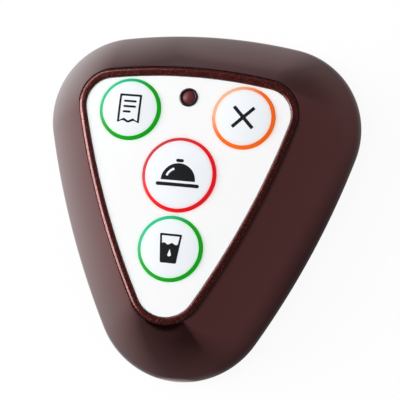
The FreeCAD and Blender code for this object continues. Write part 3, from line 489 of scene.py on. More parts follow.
# %% [markdown]
# Metals are described by their colour, by how metallic they are and by their scratches.
# Turned and rolled parts have fine lines in one direction: noise that is squeezed along
# one axis makes them. The coin cell is pressed, so its scratches go every way.

# %% Metals
STEEL = (0.56, 0.57, 0.58)
LINES, NO_LINES = (1.0, 14.0, 1.0), (1.0, 1.0, 1.0)
DULL_SHARE = 0.82
METALS = {
    "screw_zinc": ((0.5, 0.5, 0.49), 0.34, LINES),
    "tinned_metal": ((0.62, 0.62, 0.58), 0.3, LINES),
    "contact_nickel": ((0.6, 0.58, 0.53), 0.25, LINES),
    "can_metal": (STEEL, 0.3, LINES),
    "cell_steel": (STEEL, 0.22, NO_LINES),
    "copper_track": ((0.75, 0.36, 0.2), 0.3, LINES),
}

for slot, (colour, gloss, lines) in METALS.items():
    dull = tuple(part * DULL_SHARE for part in colour)
    keep(slot, mottled(
        slot, {"Metallic": 1.0}, tones=(dull, colour), cloud=(3 * MM, 4.0),
        grain=(0.9 * MM, 4.0), gloss=gloss, spread=(0.08, 0.16), depth=0.0025 * MM,
        lines=lines))

# %% [markdown]
# The circuit board shows a green lacquer over copper: lighter tracks where copper lies
# under it. Tracks could be drawn one by one, but the board is shut away in the housing, so
# a Voronoi pattern stands for them. With the Chebychev distance its cells have straight
# edges.

# %% Circuit board
BOARD_GREEN = (0.012, 0.105, 0.035)
BOARD_TRACK = (0.03, 0.2, 0.06)
TRACK_PITCH = 3.2 * MM
TRACK_ABOVE = 0.42


def board_lacquer():
    recipe = Finish("board_lacquer", {
        "IOR": 1.5, "Coat Weight": 0.6, "Coat Roughness": 0.12})
    cells = recipe.node("ShaderNodeTexVoronoi", {"distance": "CHEBYCHEV"},
                        {"Vector": recipe.place(), "Scale": 1 / TRACK_PITCH})
    track = Amount(recipe, cells.outputs["Distance"]).above(TRACK_ABOVE)
    weave = recipe.noise(0.3 * MM, 2.0)
    return recipe.feed(
        base_color=recipe.blend(track, BOARD_GREEN, BOARD_TRACK),
        roughness=varied(0.35, (weave, 0.1)),
        normal=recipe.relief(track * 0.8 + weave * 0.2, GRAIN_DEPTH))


keep("board_green", board_lacquer())

# %% [markdown]
# ## A finish on every CAD node
# The CAD record names a finish slot for every node. Every node gets its slot's material
# first. Pieces made further on take theirs from the same dictionary.

# %% Slots and materials
node_slot = {part["node"]: part["material_slot"] for part in frame["record"]["subparts"]}
for node, item in frame["nodes"].items():
    item.data.materials.clear()
    item.data.materials.append(slots[node_slot[node]])
print(len(slots), "finishes on", len(node_slot), "nodes")

# %% [markdown]
# ## The plan of the button
# Seen from above, the button is a triangle with rounded corners and slightly bowed sides:
# six arcs that run into each other. Growing every radius by the same amount gives the
# next contour out, so one function draws the panel, the frame and the housing's foot.

# %% The rounded triangle
CORNER_HALF = 18.7
TOP_RADIUS = 120.0
SIDE_RADIUS = 196.0
CORNER_RADIUS = 6.6
TIP_RADIUS = 7.5
PANEL_TOP_INSET = 0.4
TIP_STEPS, SIDE_STEPS, CORNER_STEPS, TOP_STEPS = 72, 60, 48, 60


def heading(start, end):
    return math.atan2(end.y - start.y, end.x - start.x)


def flipped(point):
    return Vector((-point.x, point.y))


def plan_arcs(top_inset):
    """Six arcs, anticlockwise from the tip: centre, radius, start, end and steps."""
    top = Vector((0, PLAN_LENGTH / 2 - TOP_RADIUS - top_inset))
    tip = Vector((0, TIP_RADIUS - PLAN_LENGTH / 2))
    reach = TOP_RADIUS - CORNER_RADIUS
    corner = Vector((CORNER_HALF, top.y + math.sqrt(reach ** 2 - CORNER_HALF ** 2)))
    line = corner - tip
    to_tip, to_corner = SIDE_RADIUS - TIP_RADIUS, SIDE_RADIUS - CORNER_RADIUS
    along = (to_tip ** 2 - to_corner ** 2 + line.length ** 2) / (2 * line.length)
    across = math.sqrt(to_tip ** 2 - along ** 2)
    unit = line.normalized()
    side = tip + unit * along + Vector((-unit.y, unit.x)) * across
    low, high, bow = heading(side, tip), heading(side, corner), heading(top, corner)
    return [
        (tip, TIP_RADIUS, -math.pi - low, low, TIP_STEPS),
        (side, SIDE_RADIUS, low, high, SIDE_STEPS),
        (corner, CORNER_RADIUS, high, bow, CORNER_STEPS),
        (top, TOP_RADIUS, bow, math.pi - bow, TOP_STEPS),
        (flipped(corner), CORNER_RADIUS, math.pi - bow, math.pi - high, CORNER_STEPS),
        (flipped(side), SIDE_RADIUS, math.pi - high, math.pi - low, SIDE_STEPS),
    ]


def contour(grow, top_inset=0.0):
    """Points in millimetres round the plan, moved outwards by grow."""
    points = []
    for centre, radius, start, end, steps in plan_arcs(top_inset):
        for step in range(steps):
            angle = start + (end - start) * step / steps
            reach = radius + grow
            points.append((centre.x + reach * math.cos(angle),
                           centre.y + reach * math.sin(angle)))
    return points


print("the plan has", len(contour(0)), "points")

# %% [markdown]
# ## Building helpers
# A few small helpers make the solid pieces. `solid` closes off a mesh that was built point
# by point and makes an object of it. `shell` stacks closed rings of points and joins each
# ring to the next. `plate` makes a flat sheet with holes. `settle` turns an object whose
# modifiers are still live into a plain mesh with its faces outwards.

# %% Closing off a mesh
SHARP = math.radians(32)
WELD = 1e-6


def add_object(name, data):
    made = bpy.data.objects.new(name, data)
    scene.collection.objects.link(made)
    return made


def finish_mesh(build, name, sharp=SHARP):
    """Closes off a mesh: doubles merged, faces outwards, smooth where it is round."""
    bmesh.ops.remove_doubles(build, verts=build.verts, dist=WELD)
    wires = [edge for edge in build.edges if edge.is_wire]
    bmesh.ops.delete(build, geom=wires, context="EDGES")
    bmesh.ops.recalc_face_normals(build, faces=build.faces)
    if build.calc_volume(signed=True) < 0:
        bmesh.ops.reverse_faces(build, faces=build.faces)
    mesh = bpy.data.meshes.new(name)
    build.to_mesh(mesh)
    build.free()
    mesh.shade_smooth()
    mesh.set_sharp_from_angle(angle=sharp)
    return mesh


def solid(build, name, slot, sharp=SHARP):
    piece = add_object(name, finish_mesh(build, name, sharp))
    piece.data.materials.append(slots[slot])
    return piece


# %% Rings, shells and plates


def add_ring(build, points, height):
    return [build.verts.new((x * MM, y * MM, height * MM)) for x, y in points]


def join_rings(build, first, second):
    count = len(first)
    for index in range(count):
        after = (index + 1) % count
        build.faces.new((first[index], first[after], second[after], second[index]))


def shell(build, rings, closed=True):
    """Rings of (points, height), each joined to the next and the last to the first."""
    made = [add_ring(build, points, height) for points, height in rings]
    for index in range(len(made) if closed else len(made) - 1):
        join_rings(build, made[index], made[(index + 1) % len(made)])
    return made


def circle(x, y, radius, steps):
    return [(x + radius * math.cos(2 * math.pi * step / steps),
             y + radius * math.sin(2 * math.pi * step / steps)) for step in range(steps)]


def plate(build, low, high, borders):
    """A sheet from low to high; borders are (outline for an inset, its chamfer)."""
    bottoms, tops = [], []
    for border, chamfer in borders:
        rings = [(border(0), low), (border(0), high - chamfer), (border(chamfer), high)]
        made = shell(build, rings, closed=False)
        bottoms.append(made[0])
        tops.append(made[-1])
    for loops in (bottoms, tops):
        edges = []
        for ring in loops:
            for index, vertex in enumerate(ring):
                pair = (vertex, ring[(index + 1) % len(ring)])
                edges.append(build.edges.get(pair) or build.edges.new(pair))
        bmesh.ops.triangle_fill(build, edges=edges, use_beauty=True)


# %% Plain meshes, and what each piece stands for


def evaluated_mesh(item):
    """The mesh that an object's modifiers, or a curve's settings, make of it."""
    bpy.context.view_layer.update()
    ready = item.evaluated_get(bpy.context.evaluated_depsgraph_get())
    return bpy.data.meshes.new_from_object(ready)


def settle(host, name, sharp=SHARP):
    """A plain mesh object from one whose modifiers are live; the host is removed."""
    raw = evaluated_mesh(host)
    build = bmesh.new()
    build.from_mesh(raw)
    mesh = finish_mesh(build, name, sharp)
    for material in raw.materials:
        mesh.materials.append(material)
    bpy.data.objects.remove(host)
    bpy.data.meshes.remove(raw)
    return add_object(name, mesh)


def dress(piece, body, slot, *nodes):
    """Gives a finished piece its material and its body, and hides the CAD nodes it stands for."""
    if slots[slot].name not in [m.name for m in piece.data.materials if m]:
        piece.data.materials.append(slots[slot])
    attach(piece, body)
    if nodes:
        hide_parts(*nodes)
    print(piece.name, len(piece.data.vertices), "points")
    return piece


# %% [markdown]
# ## A section that follows a path
# A housing wall, a key cap and a lamp collar are made the same way: one flat section is
# carried round a path. Round the plan it makes a wall; round a circle it makes a turned
# piece, as on a lathe. Geometry Nodes do this with Curve to Mesh. The path's normals are
# set to Z Up, so that the section's X always points outwards and its Y straight down.

# %% Geometry tree: carry a section along a path


def new_tree(name, inputs):
    tree = bpy.data.node_groups.new(name, "GeometryNodeTree")
    tree.interface.new_socket("Geometry", in_out="INPUT", socket_type="NodeSocketGeometry")
    for label, kind in inputs:
        tree.interface.new_socket(label, in_out="INPUT", socket_type=kind)
    tree.interface.new_socket("Geometry", in_out="OUTPUT", socket_type="NodeSocketGeometry")
    recipe = Recipe(tree)
    return tree, recipe, recipe.node("NodeGroupInput"), recipe.node("NodeGroupOutput")


def end_tree(recipe, entry, leave, geometry):
    """Every tree ends the same way: real geometry, with its material."""
    real = recipe.node("GeometryNodeRealizeInstances", None, {"Geometry": geometry})
    painted = recipe.node("GeometryNodeSetMaterial", None, {
        "Geometry": real.outputs[0], "Material": entry.outputs["Finish"]})
    recipe.tree.links.new(painted.outputs[0], leave.inputs[0])


def follow_tree():
    tree, recipe, entry, leave = new_tree("Carry a section along a path", [
        ("Section", "NodeSocketObject"), ("Finish", "NodeSocketMaterial")])
    section = recipe.node("GeometryNodeObjectInfo", None, {"Object": entry.outputs["Section"]})
    path = recipe.node("GeometryNodeSetCurveNormal", {"mode": "Z_UP"},
                       {"Curve": entry.outputs[0]})
    swept = recipe.node("GeometryNodeCurveToMesh", None, {
        "Curve": path.outputs[0], "Profile Curve": section.outputs["Geometry"]})
    end_tree(recipe, entry, leave, swept.outputs[0])
    return tree


FOLLOW = follow_tree()
print(FOLLOW.name, "takes", len(FOLLOW.nodes), "nodes")

# %% Carrying a section


def grown(host, tree, values, name, sharp=SHARP):
    """Runs a tree on the host, with its inputs set, and keeps the plain mesh of it."""
    modifier = host.modifiers.new(tree.name, "NODES")
    modifier.node_group = tree
    for item in tree.interface.items_tree:
        if item.in_out == "INPUT" and item.name in values:
            modifier[item.identifier] = values[item.name]
    return settle(host, name, sharp)


def closed_curve(name, outlines, dimensions="3D"):
    """A curve object; each outline, in millimetres, becomes one closed spline of it."""
    data = bpy.data.curves.new(name, "CURVE")
    data.dimensions = dimensions
    for points in outlines:
        spline = data.splines.new("POLY")
        spline.points.add(len(points) - 1)
        for point, (x, y) in zip(spline.points, points):
            point.co = (x * MM, y * MM, 0.0, 1.0)
        spline.use_cyclic_u = True
    return add_object(name, data)


def carried(name, path, section, slot, sharp=SHARP):
    """A solid: the section, as (outwards, height) pairs, carried round the path."""
    profile = closed_curve(name + "_section", [[(out, -height) for out, height in section]])
    piece = grown(closed_curve(name + "_path", [path]), FOLLOW,
                  {"Section": profile, "Finish": slots[slot]}, name, sharp)
    bpy.data.objects.remove(profile)
    return piece


def arc(centre, radius, start, end, steps):
    """Points on an arc, with its two ends; angles in degrees."""
    angles = [math.radians(start + (end - start) * step / steps) for step in range(steps + 1)]
    return [(centre[0] + radius * math.cos(a), centre[1] + radius * math.sin(a))
            for a in angles]


# %% [markdown]
# ## The housing
# The housing's section starts at its lower edge, goes round the foot and up the flank to
# a thin lip, and comes back down inside. The foot is an arc that runs smoothly into the
# flank. The flank bows outwards a little, which bends what the lacquer mirrors. The lip
# closes over the frame's rounded shoulder, so the dark seam between the two lies close to
# the frame's highlight. A sculpted mesh could have this shape too, but here each point of
# the section is one size of the wall, and changing it changes the whole wall.

# %% Sizes of the housing
FOOT_PROUD = 0.6
PANEL = 22.3
FRAME_WIDTH = 2.0
SEAM = 0.06
LIP = 0.42
LIP_ROUND = 0.05
LIP_COVER = 0.58
LIP_FLAT = 0.03
LIP_DEPTH = 0.4
CREASE = PANEL + 0.2
CREASE_GROW = FRAME_WIDTH + SEAM + LIP
FLANK_SPREAD = 12.23
FOOT_GROW = CREASE_GROW + FLANK_SPREAD
FLANK_FOOT = FOOT_PROUD + 3.0
FOOT_ROUND = 9.0
FLANK_TURN = 5.0
EDGE_ROUND = 0.7
PANEL_UNDER = PANEL - 1.2
DECK_UNDER = PANEL_UNDER - 1.6
SEAL_TOP = FOOT_PROUD + 2.5
BASE_GROW = FOOT_GROW - 2.2
CAVITY_FOOT = FOOT_GROW - 3.7
CAVITY_TOP = CREASE_GROW + FLANK_SPREAD * (CREASE - DECK_UNDER) / (CREASE - FLANK_FOOT) - 2.4
LIP_STEPS, FOOT_STEPS, FLANK_STEPS, RIM_STEPS = 6, 16, 24, 8
HOUSING_SHARP = math.radians(40)
print("the housing's foot lies", round(FOOT_GROW, 2), "mm outside the panel")

# %% Housing section


def housing_section():
    crease = CREASE_GROW - LIP_COVER
    slope = math.degrees(math.atan2(FOOT_GROW - crease, CREASE - FLANK_FOOT))
    low, high = slope - FLANK_TURN, slope + FLANK_TURN
    lip_run = LIP_ROUND * math.tan(math.radians(90 - slope) / 2)
    lip = arc((crease - lip_run, CREASE - LIP_ROUND), LIP_ROUND, high, 90, LIP_STEPS)
    foot = arc((FOOT_GROW - FOOT_ROUND, 0), FOOT_ROUND, 0, low, FOOT_STEPS)
    cosine_low, cosine_high = math.cos(math.radians(low)), math.cos(math.radians(high))
    bow = (foot[-1][0] - lip[0][0]) / (cosine_low - cosine_high)
    flank = arc((foot[-1][0] - bow * cosine_low, lip[0][1] - bow * math.sin(math.radians(high))),
                bow, low, high, FLANK_STEPS)
    rise = flank[0][1] - foot[-1][1]
    foot = [(out, height + rise) for out, height in foot]
    print("the flank bows with a radius of", round(bow), "mm from", round(foot[0][1], 2))
    edge = arc((FOOT_GROW - EDGE_ROUND, FOOT_PROUD + EDGE_ROUND), EDGE_ROUND, -90, 0,
               RIM_STEPS)
    seat = FRAME_WIDTH + SEAM
    inside = [(crease - LIP_FLAT, CREASE), (seat, CREASE - LIP_DEPTH), (seat, PANEL_UNDER),
              (0.0, PANEL_UNDER), (0.0, DECK_UNDER), (CAVITY_TOP, DECK_UNDER),
              (CAVITY_FOOT, SEAL_TOP), (BASE_GROW, SEAL_TOP), (BASE_GROW, FOOT_PROUD)]
    return edge + foot + flank[1:-1] + lip + inside


housing = carried("housing_wall", contour(0), housing_section(), "housing_brown",
                  HOUSING_SHARP)
print("housing is", round(housing.dimensions.y / MM, 2), "mm long")

# %% [markdown]
# ### Deck, bosses and posts
# Under the panel the housing closes with a deck that has one opening for each key and one
# for the lamp. Bosses hang from it for the circuit board, and posts take the screws of the
# base plate. They repeat, so a second tree copies one turned piece to a few points.

# %% Geometry tree: copies at points


def copies_tree():
    tree, recipe, entry, leave = new_tree("Copies at points", [
        ("Piece", "NodeSocketObject"), ("Finish", "NodeSocketMaterial")])
    piece = recipe.node("GeometryNodeObjectInfo", None, {
        "Object": entry.outputs["Piece"], "As Instance": True})
    angle = recipe.node("GeometryNodeInputNamedAttribute", {"data_type": "FLOAT"},
                        {"Name": "turn"})
    spin = recipe.node("ShaderNodeCombineXYZ", None, {"Z": angle.outputs[0]})
    turned_by = recipe.node("FunctionNodeEulerToRotation", None, {0: spin.outputs[0]})
    placed = recipe.node("GeometryNodeInstanceOnPoints", None, {
        "Points": entry.outputs[0], "Instance": piece.outputs["Geometry"],
        "Rotation": turned_by.outputs[0]})
    end_tree(recipe, entry, leave, placed.outputs[0])
    return tree


COPIES = copies_tree()
print(COPIES.name, "takes", len(COPIES.nodes), "nodes")

# %% Copied, turned and joined pieces


def copied(name, piece, places, slot, turns=None):
    """One mesh with a copy of the piece at each (x, y) place; turns are in degrees."""
    mesh = bpy.data.meshes.new(name + "_places")
    mesh.from_pydata([(x * MM, y * MM, 0) for x, y in places], [], [])
    turn = mesh.attributes.new("turn", "FLOAT", "POINT")
    for index, degrees in enumerate(turns or [0] * len(places)):
        turn.data[index].value = math.radians(degrees)
    made = grown(add_object(name + "_places", mesh), COPIES,
                 {"Piece": piece, "Finish": slots[slot]}, name)
    bpy.data.objects.remove(piece)
    return made


def turned(name, x, y, profile, slot, steps):
    """A piece turned on a lathe: the profile holds (radius, height) pairs."""
    reach = max(radius for radius, height in profile)
    section = [(radius - reach, height) for radius, height in profile]
    return carried(name, circle(x, y, reach, steps), section, slot)


def joined(name, *pieces):
    """Several finished meshes as one piece."""
    build = bmesh.new()
    for piece in pieces:
        build.from_mesh(piece.data)
    mesh = bpy.data.meshes.new(name)
    build.to_mesh(mesh)
    build.free()
    mesh.materials.append(pieces[0].data.materials[0])
    mesh.shade_smooth()
    mesh.set_sharp_from_angle(angle=SHARP)
    for piece in pieces:
        bpy.data.objects.remove(piece)
    return add_object(name, mesh)


# %% Deck with its openings
COLLAR_NECK, NECK_GAP = 2.0, 0.05
SKIRT_STEP, SKIRT_GAP = 0.6, 0.08
BOARD_TOP = 12.0
BOSS_RADIUS, BOSS_BORE = 2.6, 1.05
POST_RADIUS, POST_BORE = 2.8, 1.3
POST_TOP = 10.2
PILOT_BOSS, PILOT_POST = 6.0, 7.0
BASE_TOP = FOOT_PROUD + 2.0
DECK_STEPS, TUBE_STEPS = 96, 48
boss_places = [(-19.5, CENTRE_Y + 3.2), (19.5, CENTRE_Y + 3.2),
               (-11.5, CENTRE_Y - 9.8), (11.5, CENTRE_Y - 9.8)]
post_places = [(-28.0, PLAN_LENGTH / 2 - 0.3), (28.0, PLAN_LENGTH / 2 - 0.3),
               (0.0, -PLAN_LENGTH / 2 - 7.2)]


def tube(name, foot, top, radius, bore, depth):
    profile = [(bore, foot), (radius, foot), (radius, top), (0, top), (0, foot + depth),
               (bore, foot + depth)]
    return turned(name, 0, 0, profile, "housing_brown", TUBE_STEPS)


def openings(beside_key, key_steps, lamp_steps, chamfer):
    """Borders of a hole for each key, so much wider than its edge, and one for the lamp."""
    holes = [(x, y, ring + BEVEL_WIDTH / 2 + beside_key, key_steps)
             for x, y, ring, tint in KEYS.values()]
    holes.append((0, LAMP_Y, COLLAR_NECK + NECK_GAP, lamp_steps))
    return [(lambda inset, x=x, y=y, radius=radius, steps=steps:
             circle(x, y, radius + inset, steps), chamfer) for x, y, radius, steps in holes]


deck_build = bmesh.new()
plate(deck_build, DECK_UNDER, PANEL_UNDER,
      [(lambda inset: contour(-inset), 0.0)]
      + openings(SKIRT_GAP - SKIRT_STEP, DECK_STEPS, DECK_STEPS, 0.0))
deck = solid(deck_build, "deck", "housing_brown")
bosses = copied("bosses", tube("boss", BOARD_TOP, DECK_UNDER, BOSS_RADIUS, BOSS_BORE,
                               PILOT_BOSS), boss_places, "housing_brown")
posts = copied("posts", tube("post", BASE_TOP, POST_TOP, POST_RADIUS, POST_BORE, PILOT_POST),
               post_places, "housing_brown")
housing = joined("housing_shell", housing, deck, bosses, posts)
dress(housing, "housing", "housing_brown", "upper_housing")

# %% [markdown]
# ## The frame
# The frame is a bead. A wide arc rises from its outer edge to the crest, and a small one
# leads down to the panel. It is a little wider along the wide end, so it isn't one section
# carried along a path: its rings are drawn one by one, from the outer contour and from the
# inner one.

# %% Frame
FRAME_TOP = PANEL + 0.42
FRAME_BOW = 1.3
FRAME_CREST = 0.9
FRAME_INNER_ROUND = 0.35
ROUND_STEPS = 12
FRAME_SHARP = math.radians(50)


def frame_rings():
    rings = [(contour(FRAME_WIDTH), PANEL_UNDER)]
    edge = math.degrees(math.acos((FRAME_WIDTH - FRAME_CREST) / FRAME_BOW))
    for out, height in arc((FRAME_CREST, FRAME_TOP - FRAME_BOW),
                           FRAME_BOW, edge, 90, ROUND_STEPS):
        rings.append((contour(out), height))
    for out, height in arc((FRAME_INNER_ROUND, FRAME_TOP - FRAME_INNER_ROUND),
                           FRAME_INNER_ROUND, 90, 180, ROUND_STEPS // 2):
        rings.append((contour(out, PANEL_TOP_INSET), height))
    rings.append((contour(0.0, PANEL_TOP_INSET), PANEL_UNDER))
    return rings


frame_build = bmesh.new()
shell(frame_build, frame_rings())
bead = solid(frame_build, "frame_bead", "frame_metallic_brown", FRAME_SHARP)
dress(bead, "housing", "frame_metallic_brown", "panel_frame")

# %% [markdown]
# ## The panel
# The panel is one thin white sheet with a hole for each key and one for the lamp. Its
# edges are broken by a fine chamfer, which catches a hair of light beside each key. A
# Boolean could cut the holes, but the rims are cleaner when the sheet is filled in between
# closed outlines.

# %% Panel
PANEL_GAP = 0.08
KEY_GAP = 0.08
SHEET_CHAMFER = 0.05
KEY_STEPS, LAMP_STEPS = 160, 64

panel_build = bmesh.new()
plate(panel_build, PANEL_UNDER, PANEL,
      [(lambda inset: contour(-PANEL_GAP - inset, PANEL_TOP_INSET), SHEET_CHAMFER)]
      + openings(KEY_GAP, KEY_STEPS, LAMP_STEPS, SHEET_CHAMFER))
panel = solid(panel_build, "panel_sheet", "panel_white")
dress(panel, "housing", "panel_white", "front_panel")

# %% [markdown]
# ## Keys
# A key is a domed white cap on a hollow skirt. Three tabs at the foot of the skirt hold it
# under the deck, and a stem in the middle reaches down to its switch. Cap, skirt and stem
# share one profile, so the lathe makes them in one go. The tabs aren't round, so they are
# copied on. The coloured edge is a ring of its own: it sits round the cap and slopes down
# to the panel.

# %% Sizes of the keys
BEVEL_RISE = 0.66
BEVEL_FOOT = 0.06
RING_SEAT = 0.3
KEY_CROWN = 0.3
BROW = PANEL + BEVEL_FOOT + BEVEL_RISE
CEILING = BROW - 1.5
SKIRT_WALL = 1.0
SKIRT_BOTTOM = DECK_UNDER - 0.1 - 1.2
CAP_UNDER = PANEL_UNDER + 0.5
STEM_RADIUS = 1.8
STEM_FOOT = BOARD_TOP + 5.0
BROW_ROUND = 0.09
TAB_REACH, TAB_ROOT, TAB_WIDTH, TAB_HEIGHT = 1.0, 0.5, 3.0, 1.2
DOME_STEPS, BROW_STEPS, EDGE_STEPS = 24, 5, 8
EDGE_BULGE = 0.021
print("a key's skirt reaches down to", round(SKIRT_BOTTOM, 2), "mm")

# %% Profiles of a key cap and its edge


def dome_height(inner, reach):
    """Height of the domed cap at a distance from the key's middle."""
    bow = (inner ** 2 + KEY_CROWN ** 2) / (2 * KEY_CROWN)
    return BROW + KEY_CROWN - bow + math.sqrt(bow ** 2 - reach ** 2)


def cap_profile(ring):
    inner, outer = ring - BEVEL_WIDTH / 2, ring + BEVEL_WIDTH / 2
    skirt = outer - SKIRT_STEP
    reaches = [inner * step / DOME_STEPS for step in range(DOME_STEPS)]
    dome = [(reach, dome_height(inner, reach)) for reach in reaches]
    brow = arc((inner - BROW_ROUND, dome_height(inner, inner - BROW_ROUND) - BROW_ROUND),
               BROW_ROUND, 84, 6, BROW_STEPS)
    under = [(inner, PANEL - RING_SEAT), (outer, PANEL - RING_SEAT), (outer, CAP_UNDER),
             (skirt, CAP_UNDER), (skirt, SKIRT_BOTTOM), (skirt - SKIRT_WALL, SKIRT_BOTTOM),
             (skirt - SKIRT_WALL, CEILING), (STEM_RADIUS, CEILING), (STEM_RADIUS, STEM_FOOT),
             (0, STEM_FOOT)]
    return dome + brow + under


def ring_profile(ring):
    """The sloping edge is a little convex, so that it shades from its foot to its brow."""
    inner, outer = ring - BEVEL_WIDTH / 2, ring + BEVEL_WIDTH / 2
    slope = []
    for step in range(EDGE_STEPS + 1):
        share = step / EDGE_STEPS
        lift = EDGE_BULGE * 4 * share * (1 - share)
        slope.append((outer + (inner - outer) * share + lift,
                      PANEL + BEVEL_FOOT + BEVEL_RISE * share + lift))
    return [(inner, PANEL - RING_SEAT), (outer, PANEL - RING_SEAT)] + slope


# %% Keys with their tabs


def tab_block(skirt):
    """One tab, a block that starts inside the skirt's wall and points away from it."""
    build = bmesh.new()
    half, near, far = TAB_WIDTH / 2, skirt - TAB_ROOT, skirt + TAB_REACH
    corners = [(-half, near), (half, near), (half, far), (-half, far)]
    for face in shell(build, [(corners, SKIRT_BOTTOM), (corners, SKIRT_BOTTOM + TAB_HEIGHT)],
                      closed=False):
        build.faces.new(face)
    return solid(build, "tab", "key_white")


for key, (x, y, ring, tint) in KEYS.items():
    cap = turned("cap", x, y, cap_profile(ring), "key_white", KEY_STEPS)
    tab = tab_block(ring + BEVEL_WIDTH / 2 - SKIRT_STEP)
    first = 180 if key == "lower" else 0
    tabs = copied("tabs", tab, [(x, y)] * 3, "key_white", [first, first + 120, first + 240])
    cap = joined("cap_" + key, cap, tabs)
    dress(cap, key + "_key", "key_white", "key_" + key)
    edge = turned("edge_" + key, x, y, ring_profile(ring), tint, KEY_STEPS)
    dress(edge, key + "_key", tint, "ring_" + key)

# %% [markdown]
# ## Signs on the keys
# Each key carries a plain sign in thick black ink: a bill, a cross, a counter bell and a
# glass. A sign is drawn as flat outlines in millimetres. A filled 2D curve turns them into
# faces, with holes where outlines lie inside each other. The faces are then cut into
# narrow strips and laid on the dome, a hair above it.

# %% Outlines for the signs
INK = 0.52
INK_LIFT = 0.012
INK_THICKNESS = 0.02
BAR_STEPS = 6


def bar(x, y, width, height):
    """A bar with rounded ends, by its middle."""
    half, radius = width / 2, height / 2
    return (arc((x + half - radius, y), radius, -90, 90, BAR_STEPS)
            + arc((x + radius - half, y), radius, 90, 270, BAR_STEPS))


def rounded(points, radius, steps=4):
    """The same outline with its corners rounded."""
    made = []
    count = len(points)
    for index, point in enumerate(points):
        here = Vector(point)
        before = Vector(points[index - 1]) - here
        after = Vector(points[(index + 1) % count]) - here
        reach = min(radius, before.length * 0.45, after.length * 0.45)
        start, end = here + before.normalized() * reach, here + after.normalized() * reach
        for step in range(steps + 1):
            share = step / steps
            first, second = start.lerp(here, share), here.lerp(end, share)
            made.append(tuple(first.lerp(second, share)))
    return made


# %% Four signs


def bill_sign():
    width, height, tooth = 2.75, 3.55, 0.62
    teeth = [(-width + step * width / 2, -height + (tooth if step % 2 else 0))
             for step in range(5)]
    inner = [(x * (1 - INK / width), y + INK * (1.05 if y < 0 else -1)) for x, y in teeth]
    outline = rounded(teeth + [(width, height), (-width, height)], 0.3)
    hole = rounded(inner + [(width - INK, height - INK), (INK - width, height - INK)], 0.15)
    lines = [bar(0, 1.8, 3.2, INK), bar(0, 0.5, 3.2, INK), bar(-0.6, -0.8, 2.0, INK)]
    return [outline, hole] + lines


def cross_sign():
    reach, half = 3.5, 0.42
    arms = [(half, half), (half, reach), (-half, reach), (-half, half),
            (-reach, half), (-reach, -half), (-half, -half),
            (-half, -reach), (half, -reach), (half, -half),
            (reach, -half), (reach, half)]
    turn = math.radians(45)
    spun = [(x * math.cos(turn) - y * math.sin(turn), x * math.sin(turn) + y * math.cos(turn))
            for x, y in arms]
    return [rounded(spun, 0.18)]


def bell_sign():
    dome = arc((0, -1.5), 4.2, 0, 180, 40)
    shine = arc((0, -1.5), 3.3, 112, 160, 12) + arc((0, -1.5), 2.75, 160, 112, 12)
    return [rounded(dome, 0.12, 2), rounded(shine, 0.1, 2), bar(0, -2.5, 10.6, 0.85),
            bar(0, 3.35, 1.9, 0.8)]


def glass_sign():
    top, foot, height = 2.7, 1.95, 3.5
    outline = rounded([(-foot, -height), (foot, -height), (top, height), (-top, height)], 0.35)

    def side(level):
        return foot + (top - foot) * (level + height) / (2 * height) - INK

    surface = 1.1
    wave = [(side(surface) * (share / 8 - 1), surface + 0.24 * math.sin(share * math.pi / 4))
            for share in range(17)]
    air = [(side(height), height - INK), (-side(height), height - INK)]
    hole = rounded(wave + air, 0.08, 2)
    drop = arc((0.1, -1.4), 0.5, 200, 340, 8) + [(0.1, -0.1)]
    return [outline, hole, rounded(drop, 0.06, 2)]


SIGNS = {"upper_left": bill_sign(), "upper_right": cross_sign(), "centre": bell_sign(),
         "lower": glass_sign()}
print({key: len(outlines) for key, outlines in SIGNS.items()})

# %% Signs laid on the domes
STRIP, STRIPS = 0.5, 12


def sign_piece(key, outlines):
    x, y, ring, tint = KEYS[key]
    inner = ring - BEVEL_WIDTH / 2
    host = closed_curve("sign", outlines, "2D")
    host.data.fill_mode = "BOTH"
    host.data.extrude = INK_THICKNESS / 2 * MM
    raw = evaluated_mesh(host)
    build = bmesh.new()
    build.from_mesh(raw)
    bmesh.ops.remove_doubles(build, verts=build.verts, dist=WELD)
    for axis in (Vector((1, 0, 0)), Vector((0, 1, 0))):
        for step in range(-STRIPS, STRIPS + 1):
            bmesh.ops.bisect_plane(
                build, geom=build.verts[:] + build.edges[:] + build.faces[:],
                dist=WELD, plane_co=axis * step * STRIP * MM, plane_no=axis)
    for vertex in build.verts:
        reach = math.hypot(vertex.co.x, vertex.co.y) / MM
        lift = dome_height(inner, min(reach, inner)) + INK_LIFT
        vertex.co = (vertex.co.x + x * MM, vertex.co.y + y * MM, vertex.co.z + lift * MM)
    bpy.data.objects.remove(host)
    bpy.data.meshes.remove(raw)
    return add_object("sign_" + key, finish_mesh(build, "sign_" + key))


for key, outlines in SIGNS.items():
    sign = sign_piece(key, outlines)
    sign.data.materials.append(ink)
    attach(sign, key + "_key")
    print(sign.name, len(sign.data.polygons), "faces")

# %% [markdown]
# ## Status lamp
# The lamp is a small resin dome. A black collar with a rounded brow holds it in the panel.
# Both are round, so they are turned like the keys. The dome is the cap of a large sphere:
# it lies low in its collar, and a half ball would stand too proud.

# %% Lamp and collar
LAMP_RADIUS = 1.65
LAMP_PROUD = 0.5
LAMP_ARCH = 0.62
LAMP_LENGTH = 5.2
LAMP_FLANGE, FLANGE_HEIGHT = 1.95, 1.0
LENS_GAP = 0.05
COLLAR_RADIUS = 2.3
COLLAR_RISE, COLLAR_ROUND = 0.32, 0.1
LENS_STEPS, COLLAR_STEPS, INNER_STEPS = 16, 8, 4


